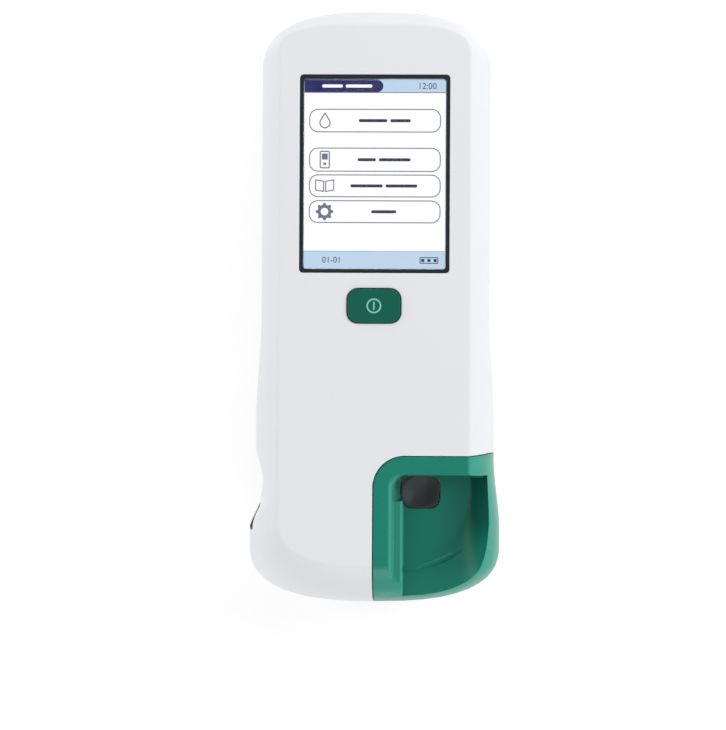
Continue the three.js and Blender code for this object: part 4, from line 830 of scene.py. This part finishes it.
# Rounds the edges that lie on a skin or on the flat face or back, or every edge
def breakRims(mesh, names, width, everywhere):
    bmesh.ops.dissolve_degenerate(mesh, dist=refining["shortEdge"], edges=mesh.edges)
    mesh.normal_update()
    levels = [form["depth"] * mm, form["backLevel"] * mm]
    rims = []
    for edge in mesh.edges:
        middle = middleOf(edge)
        offFlat = min(abs(middle.z - level) for level in levels)
        outside = everywhere or offFlat < refining["rimReach"] \
            or isNear(names, middle, refining["rimReach"])
        lip = middle.z < refining["stillLevel"] and atMeeting(names, middle)
        degrees = math.degrees(edge.calc_face_angle(0))
        turned = refining["rimDegrees"] < degrees < refining["acuteDegrees"]
        if outside and turned and not lip and not keepsFaces(names, middle):
            rims.append(edge)
    bmesh.ops.bevel(
        mesh, geom=rims, offset=width * mm, offset_type="OFFSET",
        segments=refining["rimSegments"], profile=0.5, affect="EDGES", clamp_overlap=False,
        material=-1)


def weighNormals(piece):
    modifier = piece.modifiers.new("weighedNormals", "WEIGHTED_NORMAL")
    modifier.keep_sharp = True
    modifier.weight = refining["normalWeight"]


# The skin's direction at a place, for a face that lies on it
def skinDirection(names, place, normal):
    found = []
    for name in names:
        near = skins[name]["tree"].find_nearest_range(place, refining["onSkin"])
        found += [(distance, name, index, location) for location, turned, index, distance in near
                  if abs(turned.dot(normal)) > refining["onSkinTurn"]]
    if not found:
        return None
    distance, name, index, location = min(found, key=lambda entry: entry[0])
    corners = skins[name]["corners"][index]
    shares = poly_3d_calc([corner for corner, direction in corners], location)
    mixed = total(direction * share for share, (corner, direction) in zip(shares, corners))
    return mixed if mixed.dot(normal) > 0 else -mixed


# How far each corner turns toward the lamps, for the finishes with a painted highlight tone and a
# painted shade tone
paintedLightByFacing = {
    "nodes": ["port_cover", "strip_guide"],
    "right": 0.9, "base": 0.45,
    # The dark tone is painted shade, strongest near the bowl's top wall and fading out toward the
    # base end between these
    "shadeLow": 22, "shadeHigh": 44,  # the dark tone comes in between these, from the base end
    # Corners below deepLevel get a further painted shade, darker deep in the bowl and on the strip
    # guide
    "deepLevel": 38 * mm, "deep": 0.1,
}


# Writes painted light and shade per corner: lighter facing the right or base-end lamp, painted shade
# facing away near the top wall, and deeper low down
def paintLightAndShade(piece):
    data = piece.data
    layer = data.attributes.new("facing", "FLOAT", "CORNER")
    for loop, normal in enumerate(evaluatedNormals(piece)):
        corner = data.vertices[data.loops[loop].vertex_index].co
        fromBase = corner.y / mm + form["length"] / 2
        shade = ease(paintedLightByFacing["shadeLow"], paintedLightByFacing["shadeHigh"], fromBase)
        value = paintedLightByFacing["right"] * normal.x - paintedLightByFacing["base"] * normal.y * (1 - shade)
        if value < 0:
            value *= shade
        if corner.z < paintedLightByFacing["deepLevel"]:
            value -= paintedLightByFacing["deep"]
        layer.data[loop].value = value


def evaluatedNormals(piece):
    evaluated = piece.evaluated_get(bpy.context.evaluated_depsgraph_get())
    return [corner.vector.copy() for corner in evaluated.data.corner_normals]


# Shades a piece with the true curves' directions wherever it follows them
def followSkins(piece, names):
    data = piece.data
    normals = evaluatedNormals(piece)
    followed = 0
    for face in data.polygons:
        middle = face.center.copy()
        if skinDirection(names, middle, face.normal) is None:
            continue
        for loop in face.loop_indices:
            corner = data.vertices[data.loops[loop].vertex_index].co
            place = corner.lerp(middle, refining["pull"])
            direction = skinDirection(names, place, face.normal)
            if direction is not None and direction.length > refining["leastDirection"]:
                normals[loop] = direction.normalized()
                followed += 1
    piece.modifiers.clear()
    data.normals_split_custom_set(normals)
    print("corners that follow the skins:", followed, "of", len(normals))


# A finished copy of a node. The edge is how wide its edges are broken, and the names are the skins
# that it follows.
def refine(node, finish, edge=0, names=(), everywhere=False):
    record = frame["record"]
    slot = [entry["material_slot"] for entry in record["subparts"] if entry["node"] == node][0]
    bodies = record["behaviour"]["bodies"]
    body = [name for name, members in bodies.items() if node in members][0]
    name = "".join(word.capitalize() for word in node.split("_"))
    mesh = mergedNode(node)
    if node == "strip_guide":
        fitDish(mesh)
    if names:
        fitSkin(mesh, names)
        breakRims(mesh, names, edge, everywhere)
    piece = linkPiece(name[0].lower() + name[1:], mesh, body, finishes[finish], [node])
    smoothByAngle(piece)
    if edge and not names:
        breakEdges(piece, edge)
    weighNormals(piece)
    if names:
        followSkins(piece, names)
    # The port cover and the strip guide get painted light and shade by how their corners face the
    # lamps
    if node in paintedLightByFacing["nodes"]:
        paintLightAndShade(piece)
    print(piece.name, "has", len(piece.data.polygons), "faces")


skinned = {
    "front_shell": ("shell", 0.35, ["front"]), "rear_shell": ("shell", 0.3, ["back"]),
    "battery_door": ("shell", 0.25, ["back"]), "data_window": ("filter", 0.2, ["back"]),
    "port_cover": ("green", 0.35, ["front", "bowl"], True),
}
for node, values in skinned.items():
    refine(node, *values)


# Black lining of the code chip slot, which follows the scooped flank. Millimetres, with Y from the
# base end.
slotLining = {
    "low": 29.9, "high": 41.1, "bottom": 28, "top": 36, "radius": 1.6, "clear": 0.05,
    "wall": 0.7, "recess": 0.1, "reach": 2.2, "cornerSteps": 5,
}


def slotRing(inset, deep):
    values = slotLining
    radius = values["radius"] - inset
    corners = [
        ("high", "top", 0), ("low", "top", 90), ("low", "bottom", 180), ("high", "bottom", 270),
    ]
    points = []
    for side, level, degrees in corners:
        y = values[side] + (values["radius"] if side == "low" else -values["radius"])
        z = values[level] + (values["radius"] if level == "bottom" else -values["radius"])
        for k in range(values["cornerSteps"] + 1):
            angle = math.radians(degrees + 90 * k / values["cornerSteps"])
            around = Vector((0, y + radius * math.cos(angle), z + radius * math.sin(angle)))
            start = placed(around) - Vector((form["length"] * mm, 0, 0))
            hit = skins["front"]["tree"].ray_cast(start, Vector((1, 0, 0)))[0]
            points.append(Vector((hit.x / mm + deep, around.y, around.z)))
    return points


def addSlotLining():
    outer, inner = slotLining["clear"], slotLining["clear"] + slotLining["wall"]
    front, rear = slotLining["recess"], slotLining["reach"]
    section = [(outer, front), (outer, rear), (inner, rear), (inner, front), (outer, front)]
    mesh = meshThrough([slotRing(inset, deep) for inset, deep in section])
    lining = linkPiece("chipSlotLining", mesh, "housing", finishes["black"], [])
    smoothByAngle(lining)


addSlotLining()
print("chip slot lined")

# Each node's finish, and how wide its edges are broken in millimetres
refined = {
    "power_button": ("buttonGreen", 0), "strip_guide": ("dishBlack", 0),
    "display_bezel": ("bezel", 0.12), "display_window": ("clear", 0.1), "lcd_panel": ("paper", 0),
    "battery_pack": ("battery", 0.6), "door_pad": ("foam", 0.4), "battery_contacts": ("brass", 0.1),
    "chip_socket": ("black", 0.1), "power_jack": ("black", 0.12),
    "main_board": ("board", 0.1), "strip_lever": ("black", 0.1), "optics_housing": ("black", 0.15),
    "chip_contacts": ("brass", 0),
}
for node, (finish, edge) in refined.items():
    refine(node, finish, edge)
for node in nodes:
    if node.endswith("_foot"):
        refine(node, "rubber", 0.3)
    if node.endswith("_screw"):
        refine(node, "steel", 0.08)
print("pieces refined")

# Nodes that keep the CAD's own mesh
kept = {
    "heater_plate": "aluminium", "lever_pin": "steel", "lever_spring": "steel",
    "optics_lens": "lens", "optics_mirror": "mirror", "image_sensor": "chip",
    "strip_light_ring": "paper", "lever_detector": "chip", "processor": "chip",
    "memory_chip": "chip", "buzzer": "chip", "clock_cell": "steel", "data_transceiver": "filter",
    "backlight": "paper", "display_plate": "steel", "lcd_ribbon": "ribbon",
    "switch_plunger": "chip", "power_switch": "chip", "switch_board": "board",
}
for node, finish in kept.items():
    nodes[node].data.materials.clear()
    nodes[node].data.materials.append(finishes[finish])
print("nodes dressed:", len(kept))


# Picture on the display, in thin layers of lit colour: bars, outlines, signs and plain digits.
# Millimetres; each shape names its layer, and a bar is its left and right ends.
picture = {
    "level": 47.12, "layer": 0.04, "left": -28.6, "right": 28.6, "low": 15.3, "high": 91.9,
    "headerLow": 87.0, "footerHigh": 22.2, "tabRight": 3.3, "ruleHeight": 0.35,
    "boxHalf": 26.8, "boxRadius": 3.6, "boxLine": 0.42,
    "boxes": [(70.6, 80.2), (54.6, 64.4), (44.2, 53.5), (33.7, 43.0)],
    "roundSteps": 6, "tabRound": 0.48, "barRound": 0.9, "barHeight": 1.25,
    "titleBars": [(-21.6, -13.2), (-12.0, -1.2)],
    "labels": [[(-6.6, 5.0), (6.2, 14.5)], [(-7.0, 0.4), (1.6, 14.5)], [(-9.9, 3.2), (4.4, 17.3)],
               [(-1.4, 8.8)]],
    "clock": {"text": "12:00", "x": 21.2, "y": 89.4, "height": 3.5},
    "date": {"text": "01-01", "x": -17.4, "y": 18.6, "height": 3.4},
    "cell": {
        "left": 18.4, "right": 26.0, "low": 17.3, "high": 19.9, "line": 0.35, "radius": 0.3,
        "bars": 3, "barShare": 0.5, "inset": 0.7,
    },
}
# The signs in the boxes, from the top. A case's parts are half width, low, high, radius and line.
signs = {
    "x": -20.4,
    "drop": {
        "below": 0.9, "radius": 2.3, "steps": 24, "startDegrees": 150, "turnDegrees": 250,
        "tip": 3.5, "line": 0.5,
    },
    "case": [(2.1, -3.6, 3.6, 0.7, 0.5), (1.2, 0, 2.5, 0.2, 0), (0.6, -2.2, -1.2, 0.2, 0)],
    "page": {"corners": [(0.2, -2.6), (3.9, -1.9), (3.9, 2.7), (0.2, 2.0)], "line": 0.45},
    "gear": {"teeth": 8, "radii": [3.6, 3.6, 2.8, 2.8], "startDegrees": -5, "line": 1.3},
}


# Adds a flat shape to a layer, with rounded corners or as an outline where these are given
def shapeInto(target, points, layer, radius=0, ring=0):
    part = bmesh.new()
    made = bmesh.ops.create_circle(part, cap_ends=True, segments=len(points), radius=1)["verts"]
    bottom = picture["level"] + layer * picture["layer"]
    for vert, (x, y) in zip(made, points):
        vert.co = Vector((x, y, bottom))
    if radius:
        bmesh.ops.bevel(
            part, geom=part.verts[:], offset=radius, offset_type="OFFSET",
            segments=picture["roundSteps"], profile=0.5, affect="VERTICES", clamp_overlap=False,
            material=-1)
    if ring:
        inner = part.faces[:]
        bmesh.ops.inset_region(
            part, faces=inner, thickness=ring, use_even_offset=True, use_boundary=True)
        bmesh.ops.delete(part, geom=inner, context="FACES")
    raised = bmesh.ops.extrude_face_region(part, geom=part.faces[:])["geom"]
    lifted = [entry for entry in raised if isinstance(entry, bmesh.types.BMVert)]
    bmesh.ops.translate(part, vec=(0, 0, picture["layer"]), verts=lifted)
    bmesh.ops.recalc_face_normals(part, faces=part.faces)
    bmesh.ops.scale(part, vec=(mm, mm, mm), verts=part.verts)
    data = bpy.data.meshes.new("layer")
    part.to_mesh(data)
    part.free()
    target.from_mesh(data)
    bpy.data.meshes.remove(data)


def boxInto(target, left, right, low, high, layer, radius=0, ring=0):
    shapeInto(target, [(left, low), (right, low), (right, high), (left, high)], layer, radius, ring)


def barsInto(target, bars, y, layer):
    half = picture["barHeight"] / 2
    for left, right in bars:
        boxInto(target, left, right, y - half, y + half, layer, half * picture["barRound"])


def digitsInto(target, values, layer):
    curve = bpy.data.curves.new("digits", "FONT")
    curve.body = values["text"]
    curve.align_x, curve.align_y = "CENTER", "CENTER"
    curve.size = values["height"]
    curve.extrude = picture["layer"] / 2
    carrier = bpy.data.objects.new("digits", curve)
    scene.collection.objects.link(carrier)
    bpy.context.view_layer.update()
    evaluated = carrier.evaluated_get(bpy.context.evaluated_depsgraph_get())
    data = bpy.data.meshes.new_from_object(evaluated)
    z = picture["level"] + (layer + 0.5) * picture["layer"]
    data.transform(Matrix.Scale(mm, 4) @ Matrix.Translation((values["x"], values["y"], z)))
    target.from_mesh(data)
    bpy.data.objects.remove(carrier)
    bpy.data.curves.remove(curve)
    bpy.data.meshes.remove(data)


def aroundPoints(x, y, radii, start, turn=360):
    points = []
    for k, radius in enumerate(radii):
        angle = math.radians(start + turn * k / len(radii))
        points.append((x + radius * math.cos(angle), y + radius * math.sin(angle)))
    return points


def signsInto(target, layer):
    x = signs["x"]
    first, second, third, fourth = [(low + high) / 2 for low, high in picture["boxes"]]
    drop, page, gear = signs["drop"], signs["page"], signs["gear"]
    around = aroundPoints(
        x, first - drop["below"], [drop["radius"]] * drop["steps"], drop["startDegrees"],
        drop["turnDegrees"])
    shapeInto(target, around + [(x, first + drop["tip"])], layer, ring=drop["line"])
    for half, low, high, radius, line in signs["case"]:
        boxInto(target, x - half, x + half, second + low, second + high, layer, radius, line)
    for side in (-1, 1):
        points = [(x + side * reach, third + up) for reach, up in page["corners"]]
        shapeInto(target, points[::side], layer, ring=page["line"])
    teeth = aroundPoints(x, fourth, gear["radii"] * gear["teeth"], gear["startDegrees"])
    shapeInto(target, teeth, layer, ring=gear["line"])


def addPicture():
    left, right, low, high = [picture[key] for key in ("left", "right", "low", "high")]
    header, footer, rule = picture["headerLow"], picture["footerHigh"], picture["ruleHeight"]
    sheets = {name: bmesh.new() for name in ("White", "Blue", "Navy", "Slate", "Ink")}
    boxInto(sheets["White"], left, right, low, high, 0)
    boxInto(sheets["Blue"], left, right, header, high, 1)
    boxInto(sheets["Blue"], left, right, low, footer, 1)
    tabRadius = (high - header) * picture["tabRound"]
    boxInto(sheets["Navy"], left + tabRadius, picture["tabRight"], header, high, 2, tabRadius)
    boxInto(sheets["Navy"], left, left + tabRadius * 3, header, high, 2)
    boxInto(sheets["Slate"], left, right, header - rule, header, 2)
    boxInto(sheets["Slate"], left, right, footer, footer + rule / 2, 2)
    barsInto(sheets["White"], picture["titleBars"], (header + high) / 2, 3)
    for (boxLow, boxHigh), bars in zip(picture["boxes"], picture["labels"]):
        boxInto(sheets["Slate"], -picture["boxHalf"], picture["boxHalf"], boxLow, boxHigh, 1,
                picture["boxRadius"], picture["boxLine"])
        barsInto(sheets["Ink"], bars, (boxLow + boxHigh) / 2, 1)
    signsInto(sheets["Slate"], 1)
    digitsInto(sheets["Ink"], picture["clock"], 3)
    digitsInto(sheets["Ink"], picture["date"], 3)
    cell = picture["cell"]
    boxInto(sheets["Ink"], cell["left"], cell["right"], cell["low"], cell["high"], 2,
            cell["radius"], cell["line"])
    pitch = (cell["right"] - cell["left"]) / cell["bars"]
    for k in range(cell["bars"]):
        start = cell["left"] + pitch * (k + (1 - cell["barShare"]) / 2)
        boxInto(sheets["Ink"], start, start + pitch * cell["barShare"],
                cell["low"] + cell["inset"], cell["high"] - cell["inset"], 2)
    for name, mesh in sheets.items():
        linkPiece("picture" + name, mesh, "housing", finishes["lit" + name], [])


addPicture()
print("display picture drawn")


# Studio
studio = {
    "floorSize": 6.0,
    "floorColour": (0.9, 0.9, 0.9, 1),
    "floorGlow": 0.6,          # how far the floor goes to plain white where it is seen
    "floorWhite": 1.16,
    "worldLevel": 0.45,
    "lamps": {
        "rightSoftbox": {"at": (1.15, 0.35, 0.72), "size": 0.5, "watts": 9.0},
        "leftSoftbox": {"at": (-1.2, 0.2, 0.5), "size": 0.7, "watts": 6.2},
        "headSoftbox": {"at": (0.0, 1.2, 0.6), "size": 0.7, "watts": 4.0},
        "baseSoftbox": {"at": (0.1, -1.2, 0.55), "size": 0.7, "watts": 4.8},
    },
}


# Whether a surface is seen by the camera, also in a mirror or through a window
def seenDirectly(tree):
    path = tree.nodes.new("ShaderNodeLightPath")
    rays = [Field(tree, path.outputs[name]) for name in
            ("Is Camera Ray", "Is Glossy Ray", "Is Transmission Ray")]
    return rays[0].maths("MAXIMUM", rays[0], rays[1].maths("MAXIMUM", rays[1], rays[2]))


def addFloor(values):
    mesh = bmesh.new()
    bmesh.ops.create_grid(mesh, x_segments=1, y_segments=1, size=values["floorSize"] / 2)
    data = bpy.data.meshes.new("studioFloor")
    mesh.to_mesh(data)
    mesh.free()
    floor = bpy.data.objects.new("studioFloor", data)
    scene.collection.objects.link(floor)
    material = newMaterial("studioFloor")
    tree = material.node_tree
    matt = addNode(tree, "ShaderNodeBsdfDiffuse", {}, {"Color": values["floorColour"]})
    glow = {"Color": (1, 1, 1, 1), "Strength": values["floorWhite"]}
    white = addNode(tree, "ShaderNodeEmission", {}, glow)
    share = seenDirectly(tree) * values["floorGlow"]
    closeMaterial(material, addNode(tree, "ShaderNodeMixShader", {}, {0: share, 1: matt, 2: white}))
    data.materials.append(material)


def addLamp(name, values):
    data = bpy.data.lights.new(name, "AREA")
    data.shape = "SQUARE"
    data.size = values["size"]
    data.energy = values["watts"]
    lamp = bpy.data.objects.new(name, data)
    scene.collection.objects.link(lamp)
    lamp.location = values["at"]
    lamp.rotation_euler = (-lamp.location).to_track_quat("-Z", "Y").to_euler()


def addWorld(values):
    world = bpy.data.worlds.new("studio")
    world.use_nodes = True
    tree = world.node_tree
    tree.nodes.clear()
    seen = seenDirectly(tree)
    level = seen * (1 - values["worldLevel"]) + values["worldLevel"]
    light = addNode(tree, "ShaderNodeBackground", {}, {"Color": (1, 1, 1, 1), "Strength": level})
    addNode(tree, "ShaderNodeOutputWorld", {}, {"Surface": light})
    scene.world = world


addFloor(studio)
addWorld(studio)
for name, values in studio["lamps"].items():
    addLamp(name, values)
print("studio lit")
